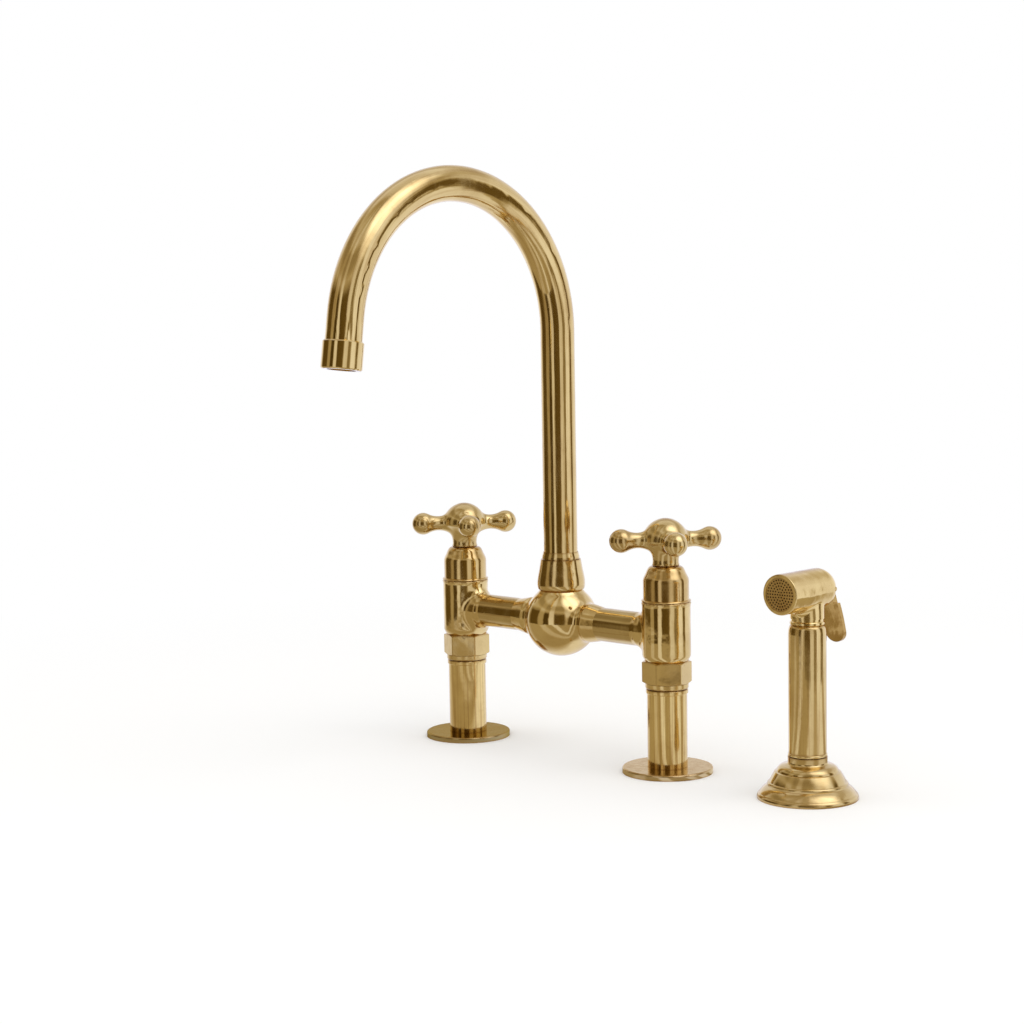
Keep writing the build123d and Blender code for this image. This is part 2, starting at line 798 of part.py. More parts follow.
with BuildPart() as bridge_ball:
    with Locations((0, 0, bridge_height)):
        Sphere(ball_radius)
    with BuildSketch(Plane.YZ.offset(-ball_socket_end)):
        with Locations((0, bridge_height)):
            Circle(ball_socket_radius)
    extrude(amount=2 * ball_socket_end)
    with BuildSketch(Plane.XY.offset(bridge_height)):
        Circle(seat_radius)
    extrude(amount=seat_height)
    socket_roots = bridge_ball.edges().filter_by(GeomType.CIRCLE).filter_by(
        lambda edge: abs(edge.radius - ball_socket_radius) < size_match
        and abs(edge.center().X) < ball_radius
    )
    fillet(socket_roots, ball_fillet)
    with BuildSketch(Plane.XY.offset(ball_bottom_of_seat)):
        Circle(spigot_radius)
    extrude(amount=spigot_height)
    with BuildSketch(Plane.YZ.offset(-ball_socket_end)):
        with Locations((0, bridge_height)):
            Circle(bridge_radius - bridge_wall)
    extrude(amount=2 * ball_socket_end, mode=Mode.SUBTRACT)
    for end in (-1, 1):
        with BuildSketch(Plane(origin=(end * ball_socket_end, 0, bridge_height), z_dir=(-end, 0, 0))):
            Circle(bridge_radius + seat_fit)
        extrude(amount=ball_socket_depth, mode=Mode.SUBTRACT)
    with BuildSketch(Plane.XY.offset(bridge_height)):
        Circle(spigot_bore)
    extrude(amount=seat_height + spigot_height, mode=Mode.SUBTRACT)
save(bridge_ball, "bridge_ball")


# ---- spout seat -----------------------------------------------------------------------------
with BuildPart() as spout_collar:
    with BuildSketch(upright(0)):
        with BuildLine():
            collar_foot = Line(
                (spigot_radius + thread_fit, collar_bottom), (collar_foot_radius, collar_bottom)
            )
            collar_bell = Spline(
                collar_foot @ 1,
                (collar_belly_radius, collar_bottom + collar_belly_height),
                (collar_waist[0], collar_bottom + collar_waist[1]),
                (collar_top_radius, collar_top),
                tangents=((0.5, 1), (-0.22, 1)),
            )
            Polyline(
                collar_bell @ 1,
                (spout_radius + free_gap, collar_top),
                (spout_radius + free_gap, collar_lip_bottom),
                (spigot_radius + thread_fit, collar_lip_bottom),
                collar_foot @ 0,
            )
        make_face()
    revolve(axis=Axis.Z)
save(spout_collar, "spout_collar")

with BuildPart() as spout_glide_rings:
    turn(
        0,
        (spigot_bore + glide_inset, spigot_top),
        (spigot_radius, spigot_top),
        (spigot_radius, spigot_top + glide_thickness),
        (spigot_bore + glide_inset, spigot_top + glide_thickness),
    )
    turn(
        0,
        (spout_radius + free_gap, foot_flange_top + end_play),
        (spigot_radius, foot_flange_top + end_play),
        (spigot_radius, collar_lip_bottom),
        (spout_radius + free_gap, collar_lip_bottom),
    )
save(spout_glide_rings, "spout_glide_rings")

nipple_radius = spigot_bore - running_fit
nipple_bottom = foot_flange_bottom - foot_nipple_length
seal_groove_radius = spigot_bore - 2 * seal_section - groove_clear

with BuildPart() as spout_foot:
    turn(
        0,
        (foot_bore, nipple_bottom),
        (nipple_radius, nipple_bottom),
        (nipple_radius, foot_flange_bottom),
        (foot_flange_radius, foot_flange_bottom),
        (foot_flange_radius, foot_flange_top),
        (spout_radius - spout_wall - seat_fit, foot_flange_top),
        (spout_radius - spout_wall - seat_fit, foot_flange_top + foot_in_tube),
        (foot_bore, foot_flange_top + foot_in_tube),
    )
    for height in ring_groove_heights:
        turn(
            0,
            (seal_groove_radius, nipple_bottom + height - seal_section),
            (spigot_bore, nipple_bottom + height - seal_section),
            (spigot_bore, nipple_bottom + height + seal_section),
            (seal_groove_radius, nipple_bottom + height + seal_section),
            mode=Mode.SUBTRACT,
        )
save(spout_foot, "spout_foot")

with BuildPart() as spout_seals:
    for height in ring_groove_heights:
        o_ring(0, seal_groove_radius, seal_section, nipple_bottom + height)
save(spout_seals, "spout_seals")


# ---- gooseneck ------------------------------------------------------------------------------
with BuildPart() as spout_tube:
    with BuildLine(Plane.YZ):
        riser = Line((0, foot_flange_top), (0, spout_spring))
        arch = JernArc(
            start=riser @ 1,
            tangent=(0, 1),
            radius=spout_arch_radius,
            arc_size=spout_bend,
        )
        drop = Line(arch @ 1, (arch @ 1) + (arch % 1) * spout_drop)
        Line(drop @ 1, (drop @ 1) + (drop % 1) * aerator_socket)
    with BuildSketch(Plane.XY.offset(foot_flange_top)):
        Circle(spout_radius)
        Circle(spout_radius - spout_wall, mode=Mode.SUBTRACT)
    sweep()
save(spout_tube, "spout_tube")

bead_ring_bottom = collar_top + bead_ring_gap
with BuildPart() as spout_bead_ring:
    turn(
        0,
        (spout_radius + seat_fit, bead_ring_bottom),
        (bead_ring_radius, bead_ring_bottom),
        (bead_ring_radius, bead_ring_bottom + bead_ring_band),
        (spout_radius + bead_ring_lip, bead_ring_bottom + bead_ring_height),
        (spout_radius + seat_fit, bead_ring_bottom + bead_ring_height),
    )
save(spout_bead_ring, "spout_bead_ring")


# ---- aerator --------------------------------------------------------------------------------
# The outlet plane looks down the spout, with its origin at the top of the housing.
outlet = Plane(origin=drop @ 1, x_dir=(1, 0, 0), z_dir=drop % 1)
washer_start = aerator_socket + aerator_gap
insert_start = washer_start + aerator_washer_height
insert_end = insert_start + insert_height

with BuildPart() as aerator_housing:
    with BuildSketch(outlet):
        Circle(aerator_radius)
    extrude(amount=aerator_length)
    rims = aerator_housing.edges().filter_by(GeomType.CIRCLE)
    chamfer(rims, aerator_chamfer)
    with BuildSketch(outlet):
        Circle(aerator_mouth)
    extrude(amount=aerator_length, mode=Mode.SUBTRACT)
    with BuildSketch(outlet):
        Circle(aerator_bore)
    extrude(amount=insert_end, mode=Mode.SUBTRACT)
    with BuildSketch(outlet):
        Circle(spout_radius + seat_fit)
    extrude(amount=aerator_socket, mode=Mode.SUBTRACT)
save(aerator_housing, "aerator_housing")

with BuildPart() as aerator_washer:
    with BuildSketch(outlet.offset(washer_start)):
        Circle(aerator_bore - seat_fit)
        Circle(foot_bore, mode=Mode.SUBTRACT)
    extrude(amount=aerator_washer_height)
save(aerator_washer, "aerator_washer")

with BuildPart() as aerator_insert:
    with BuildSketch(outlet.offset(insert_start)):
        Circle(aerator_bore - seat_fit)
        Circle(jet_radius, mode=Mode.SUBTRACT)
        for ring in range(1, jet_rings + 1):
            with PolarLocations(ring * jet_pitch, 6 * ring):
                Circle(jet_radius, mode=Mode.SUBTRACT)
    extrude(amount=insert_height)
save(aerator_insert, "aerator_insert")


# ---- hand spray base ------------------------------------------------------------------------
with BuildPart() as spray_base:
    with BuildSketch(upright(spray_x)):
        with BuildLine():
            rim = Polyline((base_bore + seat_fit, 0), (base_radius, 0), (base_radius, base_rim_height))
            rim_round = ThreePointArc(rim @ 1, *base_rim_round)
            ogee = ThreePointArc(rim_round @ 1, *base_ogee)
            step = Line(ogee @ 1, (ogee @ 1) + (0, base_step_height))
            step_round = ThreePointArc(step @ 1, *base_step_round)
            dome = ThreePointArc(step_round @ 1, *base_dome)
            tier = Line(dome @ 1, base_tier)
            tier_round = ThreePointArc(tier @ 1, *base_tier_round)
            ledge = Line(tier_round @ 1, base_ledge)
            collar_end = (base_collar_radius, base_collar_bottom)
            collar_foot = ThreePointArc(ledge @ 1, base_collar_root, collar_end)
            Polyline(
                collar_foot @ 1,
                (base_collar_radius, base_top),
                (base_bore + seat_fit, base_top),
                (base_bore + seat_fit, 0),
            )
        make_face()
    revolve(axis=axis_at(spray_x))
    turn(
        spray_x,
        (spray_shank_radius + base_boss, 0),
        (base_recess_radius, 0),
        (base_recess_radius - base_recess_slope, base_recess),
        (spray_shank_radius + base_boss, base_recess),
        mode=Mode.SUBTRACT,
    )
    bore(spray_x, spray_shank_radius + thread_fit, 0, spray_shank_in_base)
save(spray_base, "spray_base")

with BuildPart() as spray_base_shank:
    turn(
        spray_x,
        (spray_shank_bore, -deck_thickness - spray_shank_below_deck),
        (spray_shank_radius, -deck_thickness - spray_shank_below_deck),
        (spray_shank_radius, spray_shank_in_base),
        (spray_shank_bore, spray_shank_in_base),
    )
save(spray_base_shank, "spray_base_shank")
save(shank_washers([spray_x], spray_shank_radius), "spray_shank_washer")
save(lock_nut(spray_x, spray_shank_radius, spray_nut_flats, spray_nut_height), "spray_lock_nut")

with BuildPart() as spray_liner:
    turn(
        spray_x,
        (liner_bore, liner_bottom),
        (base_bore, liner_bottom),
        (base_bore, base_top),
        (liner_bore, base_top),
    )
save(spray_liner, "spray_liner")


# ---- hand spray handle ----------------------------------------------------------------------
with BuildPart() as spray_ferrule:
    turn(
        spray_x,
        (spray_water_way, spray_spigot_bottom),
        (spray_spigot_radius - spray_spigot_taper[0], spray_spigot_bottom),
        (spray_spigot_radius, spray_spigot_bottom + spray_spigot_taper[1]),
        (spray_spigot_radius, ferrule_bottom),
        (ferrule_radius, ferrule_bottom),
        (ferrule_radius, grip_bottom),
        (grip_radius - grip_wall - seat_fit, grip_bottom),
        (grip_radius - grip_wall - seat_fit, grip_bottom + plug_length),
        (spray_water_way, grip_bottom + plug_length),
    )
    ferrule_rims = spray_ferrule.edges().filter_by(GeomType.CIRCLE).filter_by(
        lambda edge: abs(edge.radius - ferrule_radius) < size_match
    )
    fillet(ferrule_rims, ferrule_round)
save(spray_ferrule, "spray_ferrule")

with BuildPart() as spray_grip:
    draw_in, draw_height = grip_shoulder
    with BuildSketch(upright(spray_x)):
        with BuildLine():
            side = Polyline(
                (grip_radius - grip_wall, grip_bottom),
                (grip_radius, grip_bottom),
                (grip_radius, grip_top - draw_height),
            )
            shoulder = EllipticalCenterArc(
                (grip_radius - draw_in, grip_top - draw_height), draw_in, draw_height, arc_size=90
            )
            Polyline(shoulder @ 1, (grip_radius - grip_wall, grip_top), side @ 0)
        make_face()
    revolve(axis=axis_at(spray_x))
save(spray_grip, "spray_grip")

connector_top = spray_spigot_bottom - end_play
with BuildPart() as spray_hose_connector:
    turn(
        spray_x,
        (hose_nut_bore, connector_top - hose_nut_length),
        (hose_nut_radius - hose_nut_taper[0], connector_top - hose_nut_length),
        (hose_nut_radius, connector_top - hose_nut_length + hose_nut_taper[1]),
        (hose_nut_radius, connector_top - hose_nut_taper[2]),
        (hose_nut_radius - hose_nut_taper[0], connector_top),
        (spray_water_way - running_fit, connector_top),
        (spray_water_way - running_fit, connector_top + hose_nipple_length),
        (hose_nut_bore, connector_top + hose_nipple_length),
    )
save(spray_hose_connector, "spray_hose_connector")


# ---- hand spray head ------------------------------------------------------------------------
def across(y, height):
    """Plane square to the Y direction above the handle's axis, looking back."""
    return Plane(origin=(spray_x, y, height), x_dir=(-1, 0, 0), z_dir=(0, 1, 0))


slot_front = pivot_back - lever_hub_radius - free_gap
slot_half = lever_width / 2 + free_gap
valve_start = front_bore_depth - barrel_front

with BuildPart() as spray_head:
    with BuildSketch(across(-barrel_front, head_axis)):
        Circle(barrel_radius)
    extrude(amount=barrel_front + barrel_back)
    back_rim = spray_head.edges().filter_by(GeomType.CIRCLE).sort_by(Axis.Y)[-1]
    fillet(back_rim, barrel_back_round)
    front_rim = spray_head.edges().filter_by(GeomType.CIRCLE).sort_by(Axis.Y)[0]
    fillet(front_rim, barrel_front_round)
    with BuildSketch(Plane((spray_x, 0, stub_bottom))):
        Circle(head_stub_radius)
    extrude(amount=head_axis - stub_bottom)
    barrel_seam = spray_head.edges().filter_by(
        lambda edge: edge.geom_type not in (GeomType.CIRCLE, GeomType.LINE)
    )
    fillet(barrel_seam, head_fillet)
    turn(
        spray_x,
        (0, neck_bottom),
        (neck_radius, neck_bottom),
        (neck_radius, stub_bottom),
        (0, stub_bottom),
    )
    turn(
        spray_x,
        (0, neck_ring_bottom),
        (neck_ring_radius - neck_ring_round, neck_ring_bottom),
        (neck_ring_radius, neck_ring_bottom + neck_ring_round),
        (neck_ring_radius, neck_bottom - neck_ring_round),
        (neck_ring_radius - neck_ring_round, neck_bottom),
        (0, neck_bottom),
    )
    turn(
        spray_x,
        (0, grip_top - plug_length),
        (grip_radius - grip_wall - seat_fit, grip_top - plug_length),
        (grip_radius - grip_wall - seat_fit, neck_ring_bottom),
        (0, neck_ring_bottom),
    )
    # rose chamber at the front, valve bore behind it and the stem's way through to the slot
    with BuildSketch(across(-barrel_front, head_axis)):
        Circle(front_bore)
    extrude(amount=front_bore_depth, mode=Mode.SUBTRACT)
    with BuildSketch(across(valve_start, plunger_height)):
        Circle(valve_bore)
    extrude(amount=valve_seat - valve_start, mode=Mode.SUBTRACT)
    with BuildSketch(across(valve_seat, plunger_height)):
        Circle(stem_way)
    extrude(amount=slot_front - stem_guide - valve_seat, mode=Mode.SUBTRACT)
    with BuildSketch(across(valve_seat, plunger_height)):
        Circle(plunger_radius + running_fit)
    extrude(amount=slot_front - valve_seat, mode=Mode.SUBTRACT)
    with BuildSketch(Plane((spray_x, valve_seat + inlet_radius + inlet_back, grip_top - plug_length))):
        Circle(inlet_radius)
    extrude(amount=plunger_height - grip_top + plug_length, mode=Mode.SUBTRACT)
    # slot between the cheeks, open to the back and below, and the pin hole across it
    with BuildSketch(Plane((spray_x, slot_front, head_axis - slot_drop))):
        Rectangle(2 * slot_half, barrel_back, align=(Align.CENTER, Align.MIN))
    extrude(amount=slot_drop + lever_hub_radius + free_gap, mode=Mode.SUBTRACT)
    with BuildSketch(Plane.YZ.offset(spray_x - barrel_radius)):
        with Locations((pivot_back, head_axis)):
            Circle(pin_radius + seat_fit)
    extrude(amount=2 * barrel_radius, mode=Mode.SUBTRACT)
save(spray_head, "spray_head")

with BuildPart() as spray_rose:
    with BuildSketch(across(rose_inset - barrel_front, head_axis)):
        Circle(front_bore - seat_fit)
        Circle(rose_hole_radius, mode=Mode.SUBTRACT)
        for ring in range(1, rose_rings + 1):
            with PolarLocations(ring * rose_pitch, 6 * ring):
                Circle(rose_hole_radius, mode=Mode.SUBTRACT)
    extrude(amount=rose_thickness)
save(spray_rose, "spray_rose")

with BuildPart() as spray_lever_pin:
    with BuildSketch(Plane.YZ.offset(spray_x - pin_length / 2)):
        with Locations((pivot_back, head_axis)):
            Circle(pin_radius)
    extrude(amount=pin_length)
save(spray_lever_pin, "spray_lever_pin")


# ---- trigger lever --------------------------------------------------------------------------
lever_front = plunger_end + free_gap
paddle_start = head_axis - lever_root_drop
paddle_tip_back = pivot_back + paddle_reach
paddle_tip_height = head_axis - paddle_drop
tip_centre = paddle_tip_height + paddle_width / 2
paddle_back = [(pivot_back + behind, head_axis - below) for behind, below in paddle_bow]

with BuildPart() as spray_lever:
    with BuildSketch(Plane.YZ.offset(spray_x - paddle_width / 2)):
        with BuildLine():
            crown = ThreePointArc(
                (pivot_back - lever_hub_radius, head_axis),
                (pivot_back, head_axis + lever_hub_radius),
                (pivot_back + paddle_crown[0], head_axis + paddle_crown[1]),
            )
            back = Spline(
                crown @ 1,
                *paddle_back,
                (paddle_tip_back, paddle_tip_height),
                tangents=((1, -0.5), (0.12, -1)),
            )
            tip = Line(back @ 1, (paddle_tip_back - lever_thickness, paddle_tip_height))
            inside = Spline(
                tip @ 1,
                *((y - lever_thickness, height) for y, height in reversed(paddle_back[1:])),
                (paddle_back[0][0] - paddle_lean, paddle_start),
                tangents=((-0.12, 1), (-0.5, 1)),
            )
            Polyline(
                inside @ 1,
                (lever_front, paddle_start),
                (lever_front, head_axis - lever_hub_radius),
                crown @ 0,
            )
        make_face()
    extrude(amount=paddle_width)
    with BuildSketch(Plane.XZ.offset(-paddle_tip_back - paddle_width)):
        with Locations((spray_x, head_axis)):
            Rectangle(lever_width, 2 * lever_root_drop)
        with Locations((spray_x, (paddle_start + tip_centre) / 2)):
            Rectangle(paddle_width, paddle_start - tip_centre)
        with Locations((spray_x, tip_centre)):
            Circle(paddle_width / 2)
    extrude(amount=2 * paddle_tip_back + paddle_width, mode=Mode.INTERSECT)
    with BuildSketch(Plane.YZ.offset(spray_x - paddle_width / 2)):
        with Locations((pivot_back, head_axis)):
            Circle(pin_radius + running_fit)
    extrude(amount=paddle_width, mode=Mode.SUBTRACT)
save(spray_lever, "spray_lever")


# ---- trigger valve --------------------------------------------------------------------------
washer_back = valve_seat - end_play
plunger_head_back = washer_back - valve_washer
plunger_head_front = plunger_head_back - plunger_head
plug_back = valve_start + valve_plug

with BuildPart() as spray_plunger:
    with BuildSketch(across(plunger_head_front, plunger_height)):
        Circle(plunger_head_radius)
    extrude(amount=plunger_head)
    with BuildSketch(across(plunger_head_front, plunger_height)):
        Circle(plunger_radius)
    extrude(amount=plunger_end - plunger_head_front)
    nose = spray_plunger.edges().filter_by(GeomType.CIRCLE).sort_by(Axis.Y)[-1]
    fillet(nose, plunger_nose)
save(spray_plunger, "spray_plunger")

with BuildPart() as spray_valve_washer:
    with BuildSketch(across(plunger_head_back, plunger_height)):
        Circle(plunger_head_radius)
        Circle(plunger_radius + seat_fit, mode=Mode.SUBTRACT)
    extrude(amount=valve_washer)
save(spray_valve_washer, "spray_valve_washer")

with BuildPart() as spray_valve_plug:
    with BuildSketch(across(valve_start, plunger_height)):
        Circle(valve_bore - thread_fit)
        with PolarLocations(plug_hole_offset, 3):
            Circle(plug_hole_radius, mode=Mode.SUBTRACT)
    extrude(amount=valve_plug)
save(spray_valve_plug, "spray_valve_plug")

spring_start = plug_back + spring_wire
spring_length = plunger_head_front - plug_back - 2 * spring_wire
with BuildPart() as spray_spring:
    with BuildLine() as spring_line:
        Helix(
            pitch=spring_length / spring_turns,
            height=spring_length,
            radius=spring_radius,
            center=(spray_x, spring_start, plunger_height),
            direction=(0, 1, 0),
        )
    with BuildSketch(Plane(origin=spring_line.line @ 0, z_dir=spring_line.line % 0)):
        Circle(spring_wire)
    sweep(is_frenet=True)
save(spray_spring, "spray_spring")
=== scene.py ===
# %% [markdown]
# # Dressing a brass bridge faucet
# The imported model already has every piece of the faucet at its real size. This lesson gives the
# pieces their looks: a camera at the photograph's viewing angle, a pale studio, hand-polished
# brass with tarnish and painted shade in its joints, and the soft hollows, flares and edges that
# a polishing wheel leaves and a plain solid lacks.
# Everything is in metres, +Z is up, z = 0 is the top of the worktop and the spout points to -Y.

import json
import math

import bpy
from mathutils import Matrix, Vector


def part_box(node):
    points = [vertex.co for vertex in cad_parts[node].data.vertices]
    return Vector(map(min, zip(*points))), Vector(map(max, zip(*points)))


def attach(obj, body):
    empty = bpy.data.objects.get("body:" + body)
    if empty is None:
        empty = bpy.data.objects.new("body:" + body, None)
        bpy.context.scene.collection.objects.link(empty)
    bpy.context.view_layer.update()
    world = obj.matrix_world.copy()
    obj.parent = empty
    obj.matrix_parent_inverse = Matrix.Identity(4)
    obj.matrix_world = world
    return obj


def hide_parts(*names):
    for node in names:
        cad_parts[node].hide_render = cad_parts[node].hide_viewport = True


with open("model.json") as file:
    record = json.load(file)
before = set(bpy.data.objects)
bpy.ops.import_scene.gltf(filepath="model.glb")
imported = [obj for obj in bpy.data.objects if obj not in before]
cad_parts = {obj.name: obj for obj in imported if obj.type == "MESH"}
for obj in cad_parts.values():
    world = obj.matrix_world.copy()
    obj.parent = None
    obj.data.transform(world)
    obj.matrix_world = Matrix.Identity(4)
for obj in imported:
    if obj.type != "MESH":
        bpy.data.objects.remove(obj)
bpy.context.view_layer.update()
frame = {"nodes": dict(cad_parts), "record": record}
bpy.context.scene.view_settings.view_transform = "Standard"
bpy.ops.object.select_all(action="DESELECT")

# %% [markdown]
# ## Camera
# The photo was taken with a long lens from the right of the spout, a little above the handles.
# The camera's heading, pitch and roll are set as three turns, and the lens follows from how
# large the faucet is in the frame. A camera looks down its own -Z, so its three axes are built
# from the heading and pitch first, and the small roll then turns the picture upright.

# %% Place the camera
CAMERA_PLACE = Vector((1.039228, -1.140362, 0.340170))
CAMERA_HEADING = math.radians(43.681)
CAMERA_PITCH = math.radians(5.795)
CAMERA_ROLL = math.radians(-1.009)
LENS_MM = 72.79
SENSOR_MM = 36
NEAREST_SEEN = 0.01


def photo_camera():
    back = Vector((
        math.sin(CAMERA_HEADING) * math.cos(CAMERA_PITCH),
        -math.cos(CAMERA_HEADING) * math.cos(CAMERA_PITCH),
        math.sin(CAMERA_PITCH),
    ))
    right = Vector((math.cos(CAMERA_HEADING), math.sin(CAMERA_HEADING), 0))
    up = back.cross(right)
    rolled_right = right * math.cos(CAMERA_ROLL) + up * math.sin(CAMERA_ROLL)
    rolled_up = up * math.cos(CAMERA_ROLL) - right * math.sin(CAMERA_ROLL)
    turn = Matrix((rolled_right, rolled_up, back)).transposed().to_4x4()
    bpy.ops.object.camera_add()
    camera = bpy.context.object
    camera.name = "photo_camera"
    camera.matrix_world = Matrix.Translation(CAMERA_PLACE) @ turn
    camera.data.lens = LENS_MM
    camera.data.sensor_width = SENSOR_MM
    camera.data.sensor_fit = "HORIZONTAL"
    camera.data.clip_start = NEAREST_SEEN
    bpy.context.scene.camera = camera
    print("camera to the faucet's origin:", round(CAMERA_PLACE.length, 3), "m")


photo_camera()

# %% [markdown]
# ## Node helpers
# A material is a chain of small nodes. These helpers add a node, set its sockets and link it in
# one line, so that each finish below reads as a recipe. Most of them give back the output that
# the next node needs.

# %% Helpers: nodes, sockets and sums


def add_node(tree, kind, **settings):
    node = tree.nodes.new(kind)
    for name, value in settings.items():
        setattr(node, name, value)
    return node


def feed(tree, value, socket):
    """Give a socket a number, a colour or another node's output."""
    if isinstance(value, (int, float)):
        socket.default_value = value
    elif isinstance(value, tuple):
        socket.default_value = (*value, 1)
    else:
        tree.links.new(value, socket)


def math_node(tree, operation, *values, clamp=False):
    node = add_node(tree, "ShaderNodeMath", operation=operation, use_clamp=clamp)
    for value, socket in zip(values, node.inputs):
        feed(tree, value, socket)
    return node.outputs[0]


def dot_with(tree, vector, fixed):
    """How far a vector reaches along a fixed one."""
    node = add_node(tree, "ShaderNodeVectorMath", operation="DOT_PRODUCT")
    feed(tree, vector, node.inputs[0])
    node.inputs[1].default_value = fixed
    return node.outputs["Value"]


def smooth_step(tree, value, low, high):
    """0 up to low and 1 from high on, with a soft rise between them."""
    node = add_node(tree, "ShaderNodeMapRange", interpolation_type="SMOOTHSTEP")
    feed(tree, value, node.inputs["Value"])
    feed(tree, low, node.inputs["From Min"])
    feed(tree, high, node.inputs["From Max"])
    return node.outputs["Result"]


# %% Helpers: colours and shaders
MIX_INPUTS = (0, 6, 7)        # where a Mix node keeps its factor and its two colours
MIX_OUTPUT = 2


def ramp_node(tree, factor, stops):
    """Colour ramp through (position, colour) stops; a plain number stands for a grey."""
    node = add_node(tree, "ShaderNodeValToRGB")
    elements = node.color_ramp.elements
    while len(elements) < len(stops):
        elements.new(0.5)
    for element, (position, colour) in zip(elements, stops):
        element.position = position
        if isinstance(colour, (int, float)):
            colour = (colour, colour, colour)
        element.color = (*colour, 1)
    feed(tree, factor, node.inputs["Fac"])
    return node.outputs["Color"]


def fade_in(tree, value, low, high):
    """0 up to low and 1 from high on, with a straight rise between them."""
    return ramp_node(tree, value, ((low, 0.0), (high, 1.0)))


def mix_colour(tree, factor, first, second, blend="MIX"):
    node = add_node(tree, "ShaderNodeMix", data_type="RGBA", blend_type=blend)
    for value, index in zip((factor, first, second), MIX_INPUTS):
        feed(tree, value, node.inputs[index])
    return node.outputs[MIX_OUTPUT]


def mix_shader(tree, factor, first, second):
    node = add_node(tree, "ShaderNodeMixShader")
    for value, socket in zip((factor, first, second), node.inputs):
        feed(tree, value, socket)
    return node.outputs[0]


# %% [markdown]
# ## The studio round the faucet
# Polished metal has almost no colour of its own: it shows the room round it. So the world is a
# room, with bands of bright windows and dark gaps round the horizon, which the brass turns into
# upright streaks, a ceiling above them, and one high window with a soft rim. A picture of a room
# would do it too, but bands with names are easier to move until the streaks fall right. Only
# shiny surfaces see the room: the camera sees plain white.

# %% Describe the room that the brass reflects
# heading (0.5 is towards the camera, 0 and 1 are straight behind the faucet) and grey level
ROOM_BANDS = (
    (0.00, 0.95), (0.11, 0.95), (0.145, 0.40), (0.17, 0.09), (0.26, 0.10), (0.28, 0.40),
    (0.315, 0.40), (0.33, 0.06), (0.37, 0.06), (0.385, 0.72), (0.42, 0.72), (0.432, 0.09),
    (0.52, 0.12), (0.54, 0.72), (0.585, 0.66), (0.60, 0.22), (0.63, 0.26), (0.65, 0.88),
    (0.71, 0.84), (0.735, 0.12), (0.755, 0.12), (0.775, 0.80), (0.86, 0.86), (0.93, 0.95),
)
# height (0 is the horizon and 1 is straight up) and grey level
CEILING = (
    (0.30, 0.74), (0.50, 0.66), (0.60, 0.42), (0.72, 0.40), (0.80, 0.72), (0.90, 0.64), (1.0, 0.5),
)
CEILING_BANDS = 0.30          # how much of the walls' bands the ceiling repeats
WALL_TOP = (0.36, 0.50)       # the walls pass into the ceiling between these heights
BACK_LOWER = 0.24             # how much lower the ceiling starts behind the faucet
# dark corners are brown wood, the middle tones tan, and the windows a clear white
ROOM_COLOURS = (
    (0.0, (0.02, 0.011, 0.002)),
    (0.11, (0.12, 0.075, 0.018)),
    (0.44, (0.45, 0.37, 0.25)),
    (0.93, (0.98, 1.0, 1.22)),
)
GLOW_TOWARDS = Vector((0.58, 0.08, 0.81)).normalized()
GLOW_RIM = math.cos(math.radians(34))
GLOW_MIDDLE = math.cos(math.radians(6))
GLOW_COLOUR = (1.2, 1.25, 1.6)
DULL_LIGHT = (0.92, 0.92, 0.92)   # what a surface without shine gets from the world
BLACK = (0.0, 0.0, 0.0)
WHITE = (1.0, 1.0, 1.0)
print("room:", len(ROOM_BANDS), "bands on the walls and", len(CEILING), "levels on the ceiling")

# %% Build the room as the world


def room_turn(tree, direction):
    """How far a direction points to the camera (-1 to 1), and its heading from 0 to 1 once round."""
    forward = dot_with(tree, direction, (math.sin(CAMERA_HEADING), -math.cos(CAMERA_HEADING), 0))
    sideways = dot_with(tree, direction, (math.cos(CAMERA_HEADING), math.sin(CAMERA_HEADING), 0))
    angle = math_node(tree, "ARCTAN2", sideways, forward)
    return forward, math_node(tree, "MULTIPLY_ADD", angle, 1 / (2 * math.pi), 0.5)


def room_brightness(tree, direction):
    """Grey level of the whole room: the walls, and above them the ceiling."""
    forward, turn = room_turn(tree, direction)
    walls = ramp_node(tree, turn, ROOM_BANDS)
    parts = add_node(tree, "ShaderNodeSeparateXYZ")
    feed(tree, direction, parts.inputs[0])
    height = parts.outputs["Z"]
    ceiling = mix_colour(tree, CEILING_BANDS, ramp_node(tree, height, CEILING), walls)
    behind = math_node(tree, "MAXIMUM", math_node(tree, "MULTIPLY", forward, -1.0), 0.0)
    raised = math_node(tree, "MULTIPLY_ADD", behind, BACK_LOWER, height)
    return mix_colour(tree, fade_in(tree, raised, *WALL_TOP), walls, ceiling)


def window_glow(tree, direction):
    """Light of the high window with its soft rim."""
    nearness = dot_with(tree, direction, GLOW_TOWARDS)
    return mix_colour(tree, smooth_step(tree, nearness, GLOW_RIM, GLOW_MIDDLE), BLACK, GLOW_COLOUR)


def studio_world():
    world = bpy.data.worlds.new("studio")
    bpy.context.scene.world = world
    world.use_nodes = True
    tree = world.node_tree
    tree.nodes.clear()
    direction = add_node(tree, "ShaderNodeTexCoord").outputs["Generated"]
    room = ramp_node(tree, room_brightness(tree, direction), ROOM_COLOURS)
    room = mix_colour(tree, 1.0, room, window_glow(tree, direction), "ADD")
    rays = add_node(tree, "ShaderNodeLightPath")
    seen = mix_colour(tree, rays.outputs["Is Glossy Ray"], DULL_LIGHT, room)
    shown = mix_colour(tree, rays.outputs["Is Camera Ray"], seen, WHITE)
    background = add_node(tree, "ShaderNodeBackground")
    feed(tree, shown, background.inputs["Color"])
    output = add_node(tree, "ShaderNodeOutputWorld")
    feed(tree, background.outputs[0], output.inputs["Surface"])
    print("world nodes:", len(tree.nodes))


studio_world()
